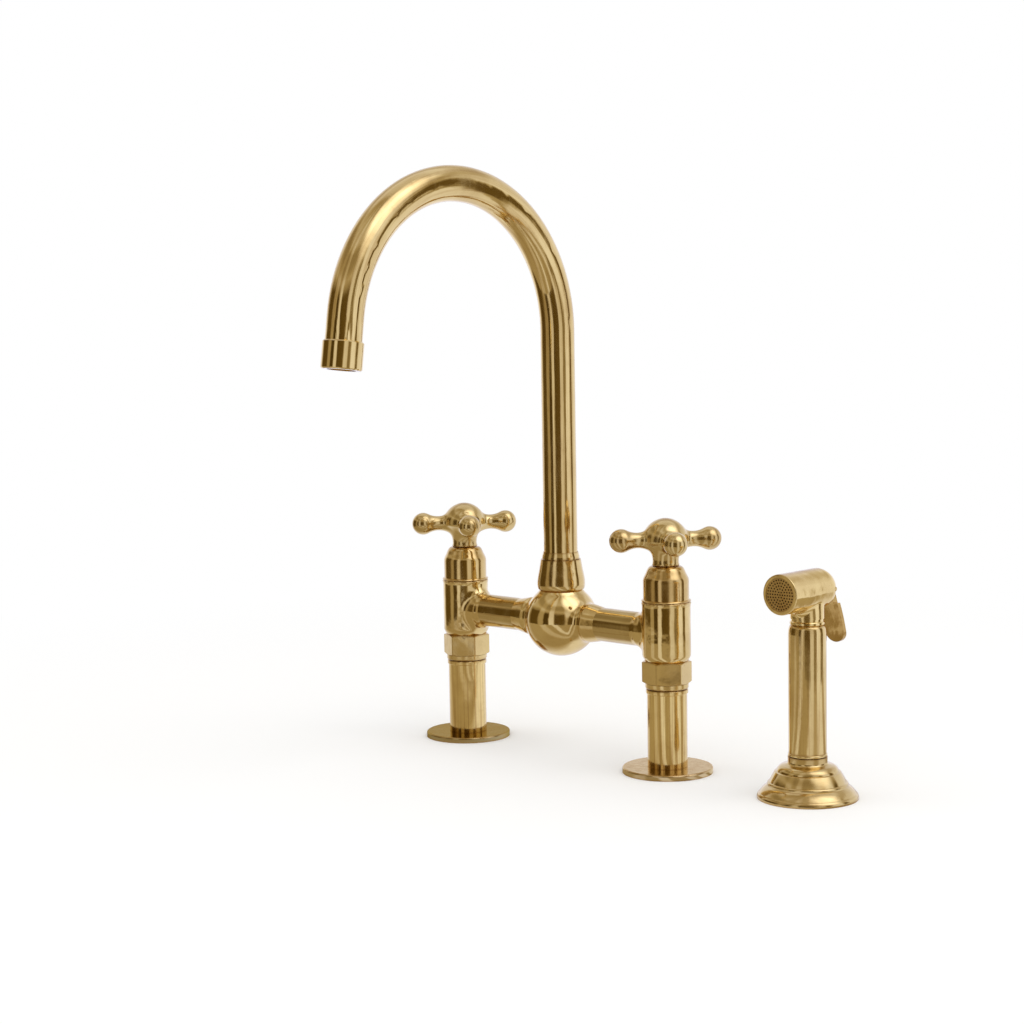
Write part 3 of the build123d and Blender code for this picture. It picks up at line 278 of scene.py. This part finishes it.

# %% [markdown]
# ## Floor
# A pale sweep that keeps the faucet's soft shadow. Near the faucet it is an ordinary matte
# surface. Further out it passes into plain white, so no horizon crosses the picture. A white
# floor under brass would look hard and cold in it, so what the brass sees is a tan table top
# with an edge, which glows with its own colour and carries the room's bands as painted patches
# of light and shade. Both are one round face, and Light Path chooses between them.

# %% Lay the floor
FLOOR_RADIUS = 6.0
FLOOR_GREY = (0.93, 0.925, 0.915)
SHADOW_ENDS = (0.35, 0.95)    # the matte floor passes into white between these distances
TABLE_GREY = 0.70
TABLE_EDGE = (0.61, 0.68)     # the table top ends between these distances
# painted light: how strongly the table top shows patches of light and shade
TABLE_BANDS = 0.5             # how much of the room's bands the lit table top repeats
TABLE_CENTRE = (0.12, 0, 0)   # the bands run out from between the right leg and the spray


def glowing(tree, colour):
    """A surface that shows its own colour, whatever the light on it."""
    node = add_node(tree, "ShaderNodeEmission")
    feed(tree, colour, node.inputs["Color"])
    return node.outputs[0]


def white_sweep(tree, distance):
    matte = add_node(tree, "ShaderNodeBsdfDiffuse")
    feed(tree, FLOOR_GREY, matte.inputs["Color"])
    white = glowing(tree, WHITE)
    return mix_shader(tree, smooth_step(tree, distance, *SHADOW_ENDS), matte.outputs[0], white)


def painted_light_table(tree, place, distance):
    """A glowing table top with painted patches of light and shade, as far as its edge, and past it
    nothing, so that the room shows.
    """
    outwards = add_node(tree, "ShaderNodeVectorMath", operation="SUBTRACT")
    feed(tree, place, outwards.inputs[0])
    outwards.inputs[1].default_value = TABLE_CENTRE
    bands = ramp_node(tree, room_turn(tree, outwards.outputs["Vector"])[1], ROOM_BANDS)
    # painted light and shade: the room's bands laid on the glowing table top as patches
    painted_light_patches = mix_colour(tree, TABLE_BANDS, (TABLE_GREY, TABLE_GREY, TABLE_GREY), bands)
    table = glowing(tree, ramp_node(tree, painted_light_patches, ROOM_COLOURS))
    gone = add_node(tree, "ShaderNodeBsdfTransparent")
    return mix_shader(tree, smooth_step(tree, distance, *TABLE_EDGE), table, gone.outputs[0])


def pale_floor():
    bpy.ops.mesh.primitive_circle_add(vertices=96, radius=FLOOR_RADIUS, fill_type="NGON")
    floor = bpy.context.object
    floor.name = "floor"
    material = bpy.data.materials.new("pale_floor")
    material.use_nodes = True
    tree = material.node_tree
    tree.nodes.clear()
    place = add_node(tree, "ShaderNodeTexCoord").outputs["Object"]
    length = add_node(tree, "ShaderNodeVectorMath", operation="LENGTH")
    feed(tree, place, length.inputs[0])
    distance = length.outputs["Value"]
    rays = add_node(tree, "ShaderNodeLightPath")
    sweep, table = white_sweep(tree, distance), painted_light_table(tree, place, distance)
    output = add_node(tree, "ShaderNodeOutputMaterial")
    feed(tree, mix_shader(tree, rays.outputs["Is Glossy Ray"], sweep, table), output.inputs["Surface"])
    floor.data.materials.append(material)
    print("floor radius:", FLOOR_RADIUS, "m, material nodes:", len(tree.nodes))


pale_floor()

# %% [markdown]
# ## Lamps
# Two large soft lamps hang where the high window's light comes from and opposite it. They light
# the floor and give the faucet its soft shadow. The brass doesn't see them, because the sharp
# round image of a lamp would look like a sticker on it. It sees the high window instead.

# %% Hang the soft boxes


def soft_box(name, place, aim, size, watts):
    bpy.ops.object.light_add(type="AREA", location=place)
    lamp = bpy.context.object
    lamp.name = name
    lamp.data.shape = "ELLIPSE"
    lamp.data.size, lamp.data.size_y = size
    lamp.data.energy = watts
    lamp.visible_glossy = False
    lamp.rotation_euler = (Vector(aim) - Vector(place)).to_track_quat("-Z", "Y").to_euler()
    print(name, "watts:", watts)


soft_box("key_box", place=(1.05, 0.0, 1.85), aim=(0, -0.15, 0.4), size=(1.6, 1.2), watts=9)
soft_box("fill_box", place=(-1.6, -1.2, 2.2), aim=(0, -0.05, 0.2), size=(2.2, 1.8), watts=6)

# %% [markdown]
# ## Finishes
# Solid brass without lacquer, polished by hand: the mirror is a little wavy, the polish leaves
# faint smears that are rougher than the rest, and a brown bloom starts where a cloth doesn't
# reach. Each of these is one group, built once with named sockets, so every brass piece shares
# it and can have its own amount.

# %% Helpers for shader groups


def new_group(name, inputs, outputs):
    """An empty group whose sockets have these names and kinds, with its two end nodes."""
    group = bpy.data.node_groups.new(name, "ShaderNodeTree")
    for label, kind in inputs.items():
        group.interface.new_socket(label, in_out="INPUT", socket_type="NodeSocket" + kind)
    for label, kind in outputs.items():
        group.interface.new_socket(label, in_out="OUTPUT", socket_type="NodeSocket" + kind)
    print("group:", name, "takes", ", ".join(inputs))
    return group, add_node(group, "NodeGroupInput"), add_node(group, "NodeGroupOutput")


def noise(tree, vector, scale, detail, roughness=0.5, distortion=0.0):
    """Cloudy noise; its blobs are about 1 / scale metres across."""
    node = add_node(tree, "ShaderNodeTexNoise")
    feed(tree, vector, node.inputs["Vector"])
    feed(tree, scale, node.inputs["Scale"])
    feed(tree, detail, node.inputs["Detail"])
    feed(tree, roughness, node.inputs["Roughness"])
    feed(tree, distortion, node.inputs["Distortion"])
    return node.outputs["Fac"]


def stretched(tree, vector, scale):
    node = add_node(tree, "ShaderNodeMapping")
    feed(tree, vector, node.inputs["Vector"])
    node.inputs["Scale"].default_value = scale
    return node.outputs["Vector"]


# %% Group: the waves and smears of hand polishing
WAVE_SCALE = 38
DENT_SCALE = 140
DENT_SHARE = 0.12             # how deep the dents are, beside the waves
STREAK_SCALE = 330
SMEAR_SCALE = 70
SMEAR_STRETCH = (1, 1, 0.35)  # the cloth went up and down, so the smears are taller than wide
SMEAR_SHOWS = (0.45, 0.75)    # a smear fades in between these levels of its noise
POLISH_DEPTH = 0.002


def hand_polish_group():
    group, start, end = new_group(
        "hand_polish",
        {"Place": "Vector", "Drawn": "Vector", "Wave": "Float", "Streak": "Float", "Smear": "Float"},
        {"Roughness": "Float", "Normal": "Vector"},
    )
    place = start.outputs["Place"]
    waves = noise(group, place, WAVE_SCALE, detail=2, roughness=0.45)
    dents = noise(group, place, DENT_SCALE, detail=2)
    height = math_node(group, "MULTIPLY_ADD", dents, DENT_SHARE, waves)
    streaks = noise(group, start.outputs["Drawn"], STREAK_SCALE, detail=3, roughness=0.6)
    height = math_node(group, "MULTIPLY_ADD", streaks, start.outputs["Streak"], height)
    bump = add_node(group, "ShaderNodeBump")
    bump.inputs["Distance"].default_value = POLISH_DEPTH
    feed(group, start.outputs["Wave"], bump.inputs["Strength"])
    feed(group, height, bump.inputs["Height"])
    wiped = stretched(group, place, SMEAR_STRETCH)
    smears = noise(group, wiped, SMEAR_SCALE, detail=4, roughness=0.6, distortion=0.6)
    rough = math_node(group, "MULTIPLY", fade_in(group, smears, *SMEAR_SHOWS), start.outputs["Smear"])
    feed(group, rough, end.inputs["Roughness"])
    feed(group, bump.outputs["Normal"], end.inputs["Normal"])
    return group


HAND_POLISH = hand_polish_group()

# %% Group: the brown bloom of unlacquered brass, and the line of tarnish and painted shade in its joints
CLOUD_SCALE = 26
CLOUD_SHOWS = (0.42, 0.72)    # a cloud fades in between these levels of its noise
SPECK_SCALE = 210
SPECK_SHOWS = (0.58, 0.75)
SPECK_SHARE = 0.35            # how brown the specks are, beside the clouds
LINE_SCALE = 520
LINE_SHOWS = (0.48, 0.66)
JOINT_SPECKS = 0.9            # the specks break up the line in a joint this much,
JOINT_LEAST = 0.35            # and this much of it is left between them


def bloom_and_joint_shade_group():
    group, start, end = new_group(
        "bloom_and_joint_shade",
        {
            "Place": "Vector", "Clean": "Color", "Bloom": "Color", "Amount": "Float",
            "Drawn": "Vector", "Lines": "Float", "Joint": "Float",
        },
        {"Colour": "Color", "Mask": "Float"},
    )
    clouds = noise(group, start.outputs["Place"], CLOUD_SCALE, detail=5, roughness=0.6, distortion=0.4)
    specks = noise(group, start.outputs["Place"], SPECK_SCALE, detail=3, roughness=0.6)
    lines = noise(group, start.outputs["Drawn"], LINE_SCALE, detail=2, roughness=0.6)
    cloud_mask = fade_in(group, clouds, *CLOUD_SHOWS)
    speck_mask = fade_in(group, specks, *SPECK_SHOWS)
    both = math_node(group, "MULTIPLY_ADD", speck_mask, SPECK_SHARE, cloud_mask, clamp=True)
    mask = math_node(group, "MULTIPLY", both, start.outputs["Amount"], clamp=True)
    line_mask = math_node(group, "MULTIPLY", fade_in(group, lines, *LINE_SHOWS), start.outputs["Lines"])
    mask = math_node(group, "ADD", mask, line_mask, clamp=True)
    # the joint's line of tarnish and painted shade, broken up by the specks
    speckled = math_node(group, "MULTIPLY_ADD", specks, JOINT_SPECKS, JOINT_LEAST)
    joint = math_node(group, "MULTIPLY", start.outputs["Joint"], speckled, clamp=True)
    mask = math_node(group, "MAXIMUM", mask, joint)
    colour = mix_colour(group, mask, start.outputs["Clean"], start.outputs["Bloom"])
    feed(group, colour, end.inputs["Colour"])
    feed(group, mask, end.inputs["Mask"])
    return group


BLOOM_AND_JOINT_SHADE = bloom_and_joint_shade_group()

# %% [markdown]
# ## Tarnish and painted shade in the joints
# Where two pieces meet, a thin brown line is painted. It is partly tarnish, which a polishing
# cloth rides over, and partly painted shade in the crevice between the parts. The line needs no
# places of its own: every turned piece ends where its neighbour starts, so its own two ends are
# where the line lies. The group takes the piece's lowest and highest place along its axis and
# fades the line out over about two millimetres.

# %% Group: the line of tarnish and painted shade at a piece's two ends
JOINT_WIDTH = 0.0022
JOINT_FADE = 1.6              # above 1 the line is dark at the joint and fades quickly


def joint_shade_and_tarnish_group():
    group, start, end = new_group(
        "joint_shade_and_tarnish",
        {"Along": "Float", "Low": "Float", "High": "Float", "Width": "Float"},
        {"Mask": "Float"},
    )
    along = start.outputs["Along"]
    from_low = math_node(group, "SUBTRACT", along, start.outputs["Low"])
    from_high = math_node(group, "SUBTRACT", start.outputs["High"], along)
    nearest = math_node(group, "MINIMUM", from_low, from_high)
    share = math_node(group, "DIVIDE", nearest, start.outputs["Width"], clamp=True)
    left_over = math_node(group, "SUBTRACT", 1.0, share)
    feed(group, math_node(group, "POWER", left_over, JOINT_FADE), end.inputs["Mask"])
    return group


JOINT_SHADE_AND_TARNISH = joint_shade_and_tarnish_group()

# %% [markdown]
# ## The brass
# Brass is a metal, so its colour tints what it reflects. The clean colour is a warm yellow and
# the bloom is browner and rougher. What is the same all over a piece, such as its metallic value
# and the tint of its glancing reflections, is set on the shader itself.

# %% Make the brass finishes
STREAK_STRETCH = 0.02         # a drawn line is 1 / 0.02, or 50, times as long as it is wide
LINES_SHARE = 0.7             # how brown the drawn lines are, beside how deep they are
STRAIGHT = "straight"         # the gooseneck's own coordinates, as if it had not been bent
# the bloom's brown is also the colour of the joint line, which is tarnish and painted shade
BLOOM = (0.48, 0.29, 0.09)
BLOOM_ROUGHER = 0.12
SMEAR_ROUGHER = 0.14


def new_material(name):
    material = bpy.data.materials.new(name)
    material.use_nodes = True
    return material, material.node_tree, material.node_tree.nodes["Principled BSDF"]


def placed_group(tree, group, **values):
    """A group's node, with each of its sockets given a value by name."""
    node = add_node(tree, "ShaderNodeGroup", node_tree=group)
    for name, value in values.items():
        feed(tree, value, node.inputs[name.capitalize()])
    return node


# mask of the joint line: tarnish and painted shade at a piece's two ends
def joint_shade_and_tarnish_mask(tree, route, axis, ends):
    parts = add_node(tree, "ShaderNodeSeparateXYZ")
    feed(tree, route, parts.inputs[0])
    low, high = ends
    line = placed_group(
        tree, JOINT_SHADE_AND_TARNISH, along=parts.outputs[axis], low=low, high=high, width=JOINT_WIDTH,
    )
    return line.outputs["Mask"]


def brass(
    name, clean, bloom_amount, wave, roughness,
    streak=0.0, axis=2, ends=None, straight=False, rim=(1, 1, 1),
):
    """One brass finish: axis is the one the piece is drawn along, ends are where its two joint
    lines lie on that axis, and rim tints its glancing reflections."""
    material, tree, shader = new_material(name)
    place = add_node(tree, "ShaderNodeTexCoord").outputs["Object"]
    route = place
    if straight:
        route = add_node(tree, "ShaderNodeAttribute", attribute_name=STRAIGHT).outputs["Vector"]
    # the joint line is tarnish and painted shade where the piece meets its neighbours
    joint = joint_shade_and_tarnish_mask(tree, route, axis, ends) if ends else 0.0
    drawn = stretched(tree, route, [STREAK_STRETCH if index == axis else 1 for index in range(3)])
    stain_and_shade = placed_group(
        tree, BLOOM_AND_JOINT_SHADE, place=place, clean=clean, bloom=BLOOM, amount=bloom_amount, drawn=drawn,
        lines=LINES_SHARE * streak, joint=joint,
    )
    polish = placed_group(
        tree, HAND_POLISH, place=place, drawn=drawn, wave=wave, streak=streak, smear=SMEAR_ROUGHER,
    )
    feed(tree, stain_and_shade.outputs["Colour"], shader.inputs["Base Color"])
    feed(tree, 1.0, shader.inputs["Metallic"])
    feed(tree, rim, shader.inputs["Specular Tint"])
    rough = math_node(tree, "ADD", polish.outputs["Roughness"], roughness)
    rough = math_node(tree, "MULTIPLY_ADD", stain_and_shade.outputs["Mask"], BLOOM_ROUGHER, rough)
    feed(tree, rough, shader.inputs["Roughness"])
    feed(tree, polish.outputs["Normal"], shader.inputs["Normal"])
    return material


# %% [markdown]
# ## One finish for each piece
# Most pieces differ as they do on a faucet in use. The cast and ground ones are wavier than the
# drawn tubes, which keep fine lines along their length. The bonnets, the lever and the rose are
# touched with wet hands and go brown, and the flanges stand in splashed water. Beyond that, the
# left flange is painted darker with a dimmer rim, as painted shade, the right one paler, as
# painted light, and the bridge tubes darker, as painted shade. A table holds what sets each piece
# apart, so one function can make them all.

# %% Choose a finish for each polished piece
CAST_WAVE = 0.32
DRAWN_WAVE = 0.14
BRIGHT = {"clean": (0.83, 0.645, 0.285), "bloom_amount": 0.35, "wave": DRAWN_WAVE, "roughness": 0.06}
# the first ending that fits a node's name says how the piece differs from plain bright brass
PIECE_LOOKS = (
    # painted shade and light: the left flange is a darker copy with a dimmer rim, the right one a paler
    # copy
    ("left_deck_flange", {"clean": (0.46, 0.38, 0.19), "bloom_amount": 0.5, "rim": (0.60, 0.53, 0.34)}),
    ("right_deck_flange", {"clean": (0.74, 0.60, 0.34), "rim": (1.0, 0.96, 0.80)}),
    ("cross_handle", {
        "clean": (0.74, 0.57, 0.25), "bloom_amount": 0.5, "wave": CAST_WAVE, "roughness": 0.13,
    }),
    ("bonnet", {"clean": (0.74, 0.55, 0.23), "bloom_amount": 0.7}),
    ("valve_body", {"wave": CAST_WAVE, "bloom_amount": 0.5}),
    ("bridge_ball", {"wave": CAST_WAVE, "bloom_amount": 0.5}),
    # painted shade: the bridge tubes are a darker copy of bright brass
    ("bridge_tube", {"clean": (0.70, 0.55, 0.25), "streak": 0.5}),
    ("leg", {"clean": (0.90, 0.70, 0.30), "streak": 0.6}),
    ("spout_tube", {"streak": 0.5}),
    ("spout_collar", {"wave": 0.4, "bloom_amount": 0.5}),
    ("union_nut", {"wave": 0.45, "roughness": 0.1}),
    ("spray_head", {"clean": (0.94, 0.74, 0.33), "wave": 0.55, "roughness": 0.04}),
    ("spray_grip", {"streak": 0.4}),
    ("spray_base", {
        "clean": (0.72, 0.55, 0.24), "bloom_amount": 0.5, "wave": CAST_WAVE, "roughness": 0.11,
    }),
    ("spray_rose", {"clean": (0.68, 0.49, 0.20), "bloom_amount": 0.9}),
    ("spray_lever", {"clean": (0.62, 0.42, 0.14), "bloom_amount": 0.8, "wave": 0.6}),
)
OUT_OF_REACH = 1.0


def polished(name):
    """Polished brass for one node, with a joint line at both ends of the axis it is turned on."""
    low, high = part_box(name)
    axis = 0 if name.endswith("bridge_tube") else 2
    changes = next((looks for ending, looks in PIECE_LOOKS if name.endswith(ending)), {})
    print(name, "mm:", [round(1000 * (top - bottom), 1) for bottom, top in zip(low, high)])
    bent = name == "spout_tube"
    # the gooseneck's far end is hidden in the outlet ring, so it needs no line there
    ends = (low[axis], low[axis] + OUT_OF_REACH) if bent else (low[axis], high[axis])
    return brass(name + "_brass", axis=axis, ends=ends, straight=bent, **{**BRIGHT, **changes})


# %% Make the finishes that several pieces share
MOTTLE_SCALE = 300
MOTTLE_DARK = 0.82
GRAIN_SCALE = 1500
GRAIN_STRENGTH = 0.1
GRAIN_DEPTH = 0.0002


def plain(name, colour, roughness, metallic=0.0):
    """Finish of a small inner piece: its colour with a fine mottle, and a grained surface."""
    material, tree, shader = new_material(name)
    place = add_node(tree, "ShaderNodeTexCoord").outputs["Object"]
    mottle = noise(tree, place, MOTTLE_SCALE, detail=3)
    darker = tuple(MOTTLE_DARK * channel for channel in colour)
    feed(tree, mix_colour(tree, mottle, darker, colour), shader.inputs["Base Color"])
    feed(tree, metallic, shader.inputs["Metallic"])
    feed(tree, roughness, shader.inputs["Roughness"])
    bump = add_node(tree, "ShaderNodeBump")
    feed(tree, GRAIN_STRENGTH, bump.inputs["Strength"])
    feed(tree, GRAIN_DEPTH, bump.inputs["Distance"])
    feed(tree, noise(tree, place, GRAIN_SCALE, detail=2), bump.inputs["Height"])
    feed(tree, bump.outputs["Normal"], shader.inputs["Normal"])
    return material


FINISHES = {
    "turned_brass": brass("turned_brass", (0.76, 0.57, 0.27), bloom_amount=0.5, wave=0.05, roughness=0.22),
    "steel": plain("stainless_steel", (0.62, 0.61, 0.59), roughness=0.28, metallic=1.0),
    "rubber": plain("black_rubber", (0.035, 0.034, 0.033), roughness=0.55),
    "ceramic": plain("lapped_ceramic", (0.86, 0.85, 0.81), roughness=0.2),
    "nylon": plain("white_nylon", (0.80, 0.79, 0.74), roughness=0.4),
}
# painted shade: a dark brown finish for the rounded edges of the union nuts
NUT_EDGE_SHADE = brass("nut_edge_shade", (0.32, 0.20, 0.07), bloom_amount=0.9, wave=DRAWN_WAVE, roughness=0.2)
print("shared finishes:", ", ".join(FINISHES))

# %% Give every node its finish
slot_of = {row["node"]: row["material_slot"] for row in frame["record"]["subparts"]}
for name, node in frame["nodes"].items():
    slot = slot_of[name]
    node.data.materials.clear()
    node.data.materials.append(polished(name) if slot == "polished_brass" else FINISHES[slot])
print("nodes with a finish:", len(frame["nodes"]))

# %% [markdown]
# ## Soft inner corners
# A cast and hand-polished piece has no sharp inner corner: where an arm leaves its hub, the
# polishing wheel leaves a hollow. A bevel fails where several round forms meet, so the hollows
# are made as a sculptor's putty would make them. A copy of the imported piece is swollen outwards,
# a voxel remesh closes its swollen corners, and the skin is drawn in again by the same amount.
# Outer forms come back as they were, and the inner corners stay filled with a round hollow.

# %% Helpers for modelled pieces
SAME_POINT = 2e-6
SMOOTH_BELOW = math.radians(40)   # faces that meet at less than this are shaded as one
body_of = {name: body for body, names in frame["record"]["behaviour"]["bodies"].items() for name in names}


def copy_of_node(name, piece_name):
    """A copy of a node's mesh as an object of its own, with its loose triangles merged."""
    bpy.ops.object.select_all(action="DESELECT")
    piece = bpy.data.objects.new(piece_name, frame["nodes"][name].data.copy())
    bpy.context.collection.objects.link(piece)
    piece.select_set(True)
    bpy.context.view_layer.objects.active = piece
    bpy.ops.object.mode_set(mode="EDIT")
    bpy.ops.mesh.select_all(action="SELECT")
    bpy.ops.mesh.remove_doubles(threshold=SAME_POINT)
    bpy.ops.mesh.select_all(action="DESELECT")
    bpy.ops.object.mode_set(mode="OBJECT")
    return piece


def apply_modifier(piece, kind, **settings):
    modifier = piece.modifiers.new(kind.lower(), kind)
    for name, value in settings.items():
        setattr(modifier, name, value)
    bpy.ops.object.modifier_apply(modifier=modifier.name)


def stand_for(piece, name):
    """The piece, which has the node's finish already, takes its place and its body."""
    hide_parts(name)
    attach(piece, body_of[name])
    print(piece.name, "faces:", len(piece.data.polygons))


# %% Helpers that fill corners and drill holes


def fill_corners(piece, radius, voxel):
    """Round hollows of this radius in a closed piece's inner corners."""
    apply_modifier(piece, "REMESH", mode="VOXEL", voxel_size=voxel)
    for swell in (radius, -radius):
        apply_modifier(piece, "DISPLACE", direction="NORMAL", mid_level=0.0, strength=swell)
        apply_modifier(piece, "REMESH", mode="VOXEL", voxel_size=voxel)
        apply_modifier(piece, "SMOOTH", factor=0.5, iterations=3)
    bpy.ops.object.shade_smooth()


def drill(piece, start, end, radius):
    """A round hole from one point to another, cut by a cylinder that is thrown away."""
    start, end = Vector(start), Vector(end)
    bpy.ops.mesh.primitive_cylinder_add(
        vertices=40, radius=radius, depth=(end - start).length, location=(start + end) / 2,
        rotation=(end - start).to_track_quat("Z", "Y").to_euler(),
    )
    cutter = bpy.context.object
    bpy.ops.object.select_all(action="DESELECT")
    piece.select_set(True)
    bpy.context.view_layer.objects.active = piece
    apply_modifier(piece, "BOOLEAN", operation="DIFFERENCE", object=cutter, solver="EXACT")
    bpy.data.objects.remove(cutter, do_unlink=True)


# %% [markdown]
# ## Cross handles
# Each handle is one brass casting: a domed hub on a trumpet-shaped neck, with four arms that
# swell into knobs. Its corners are filled first, which also closes its bore and the hole of its
# grub screw, so both are drilled again afterwards, as they are in the workshop.

# %% Cast the cross handles
HANDLE_HOLLOW = 0.0042
HANDLE_VOXEL = 0.00055
STEM_HOLE = 0.0041
STEM_DEPTH = 0.0145
STEM_START = 0.002            # the drill starts this far below the neck
SCREW_CLEAR = 0.0002
SCREW_INWARDS = 0.004         # from the grub screw's middle to the end of its hole in the bore
SCREW_OUTWARDS = 0.012        # and to the drill's start in the open air


def cast_handle(side):
    name = f"{side}_cross_handle"
    low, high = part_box(name)
    centre = ((low[0] + high[0]) / 2, (low[1] + high[1]) / 2)
    handle = copy_of_node(name, f"{side}_cast_handle")
    fill_corners(handle, HANDLE_HOLLOW, HANDLE_VOXEL)
    drill(handle, (*centre, low[2] - STEM_START), (*centre, low[2] + STEM_DEPTH), STEM_HOLE)
    screw_low, screw_high = (Vector(corner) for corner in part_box(f"{side}_handle_screw"))
    screw = (screw_low + screw_high) / 2
    screw_hole = (screw_high.z - screw_low.z) / 2 + SCREW_CLEAR
    away = Vector((screw.x - centre[0], screw.y - centre[1], 0)).normalized()
    drill(handle, screw - away * SCREW_INWARDS, screw + away * SCREW_OUTWARDS, screw_hole)
    bpy.ops.object.shade_smooth_by_angle(angle=SMOOTH_BELOW)
    stand_for(handle, name)


for side in ("left", "right"):
    cast_handle(side)

# %% [markdown]
# ## Valve bodies and ball
# The bridge tubes grow out of the valve bodies and the ball in wide, soft flares: the brazed
# joints, filed smooth. A thin sleeve round the tube gives a flare something to run out on. It
# tapers until it dips under the tube's surface, so it ends without an edge, and filling the
# corner between sleeve and body gives the flare its curve.

# %% Flare the bridge's ends
SLEEVE_LENGTH = 0.011
SLEEVE_INSIDE = 0.004
SLEEVE_TAPER = 0.0005         # how far the sleeve's narrow end dips under the tube
BODY_FLARE = {"hollow": 0.0068, "rise": 0.0005}
BALL_FLARE = {"hollow": 0.0042, "rise": 0.0022}
FLARE_VOXEL = 0.00062


def add_sleeve(boss_end, outwards, radius, rise, height):
    """A sleeve on the bridge's axis, from inside a boss, where it stands off, to beyond its end."""
    bpy.ops.mesh.primitive_cone_add(
        vertices=96, radius1=radius + rise, radius2=radius - SLEEVE_TAPER,
        depth=SLEEVE_LENGTH + SLEEVE_INSIDE,
        location=(boss_end + outwards * (SLEEVE_LENGTH - SLEEVE_INSIDE) / 2, 0, height),
        rotation=(0, outwards * math.pi / 2, 0),
    )


def flared(name, directions, hollow, rise):
    """A copy of a bridge end's node with flares towards -X (-1), +X (1) or both."""
    tube_low, tube_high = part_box("left_bridge_tube")
    tube_radius, tube_height = (tube_high[2] - tube_low[2]) / 2, (tube_high[2] + tube_low[2]) / 2
    low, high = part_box(name)
    piece = copy_of_node(name, f"{name}_flared")
    bpy.ops.object.mode_set(mode="EDIT")
    for outwards in directions:
        boss_end = high[0] if outwards > 0 else low[0]
        add_sleeve(boss_end, outwards, tube_radius, rise, tube_height)
    bpy.ops.object.mode_set(mode="OBJECT")
    fill_corners(piece, hollow, FLARE_VOXEL)
    stand_for(piece, name)


flared("left_valve_body", (1,), **BODY_FLARE)
flared("right_valve_body", (-1,), **BODY_FLARE)
flared("bridge_ball", (-1, 1), **BALL_FLARE)

# %% [markdown]
# ## Gooseneck
# The tube was drawn straight and then bent, so its fine drawing lines follow the bend. The copy
# of the tube gets a vector at each corner that says where the corner was before the bending:
# the distance along the arch becomes height, and the finish reads that vector instead of place.

# %% Give the gooseneck its unbent coordinates
ARCH_RADIUS = 0.1055


def drawn_gooseneck():
    low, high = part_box("spout_tube")
    tube_radius = (high[0] - low[0]) / 2
    spring = high[2] - ARCH_RADIUS - tube_radius
    tube = copy_of_node("spout_tube", "drawn_gooseneck")
    straight = tube.data.attributes.new(STRAIGHT, "FLOAT_VECTOR", "POINT")
    furthest = 0
    for corner, value in zip(tube.data.vertices, straight.data):
        x, y, z = corner.co
        if z > spring or y < -ARCH_RADIUS:
            # the arch turns about a point one bend radius in front of the riser
            angle = math.atan2(z - spring, y + ARCH_RADIUS)
            angle = angle + 2 * math.pi if angle < -math.pi / 2 else angle
            y = math.hypot(z - spring, y + ARCH_RADIUS) - ARCH_RADIUS
            z = spring + angle * ARCH_RADIUS
        value.vector = (x, y, z)
        furthest = max(furthest, z)
    bpy.ops.object.shade_smooth_by_angle(angle=SMOOTH_BELOW)
    stand_for(tube, "spout_tube")
    print("gooseneck unbent length mm:", round(1000 * (furthest - low[2])))


drawn_gooseneck()

# %% [markdown]
# ## Soft edges
# Years of polishing take the sharpness off every corner of brass, and a rounded corner draws a
# thin line that tells the eye where a face ends. The union nuts have the hardest corners, so they
# are copied, and a bevel that works only on sharp corners rounds them over 0.7 mm. The bevel gives
# its faces a second, dark brown finish: painted shade that outlines each edge.

# %% Round the corners of the union nuts
SHARP = math.radians(28)
FLAT = math.radians(1.5)      # triangles that meet at less than this are joined to one face
EDGE_ROUND = 0.0007


def softened(name):
    piece = copy_of_node(name, name + "_soft")
    bpy.ops.object.mode_set(mode="EDIT")
    bpy.ops.mesh.select_all(action="SELECT")
    bpy.ops.mesh.dissolve_limited(angle_limit=FLAT)
    bpy.ops.mesh.select_all(action="DESELECT")
    bpy.ops.object.mode_set(mode="OBJECT")
    # the bevel's faces get the second finish, painted shade along each edge
    piece.data.materials.append(NUT_EDGE_SHADE)
    apply_modifier(
        piece, "BEVEL", limit_method="ANGLE", angle_limit=SHARP, width=EDGE_ROUND, segments=3, material=1,
    )
    bpy.ops.object.shade_smooth_by_angle(angle=SHARP)
    apply_modifier(piece, "WEIGHTED_NORMAL", keep_sharp=True)
    stand_for(piece, name)


for side in ("left", "right"):
    softened(f"{side}_union_nut")
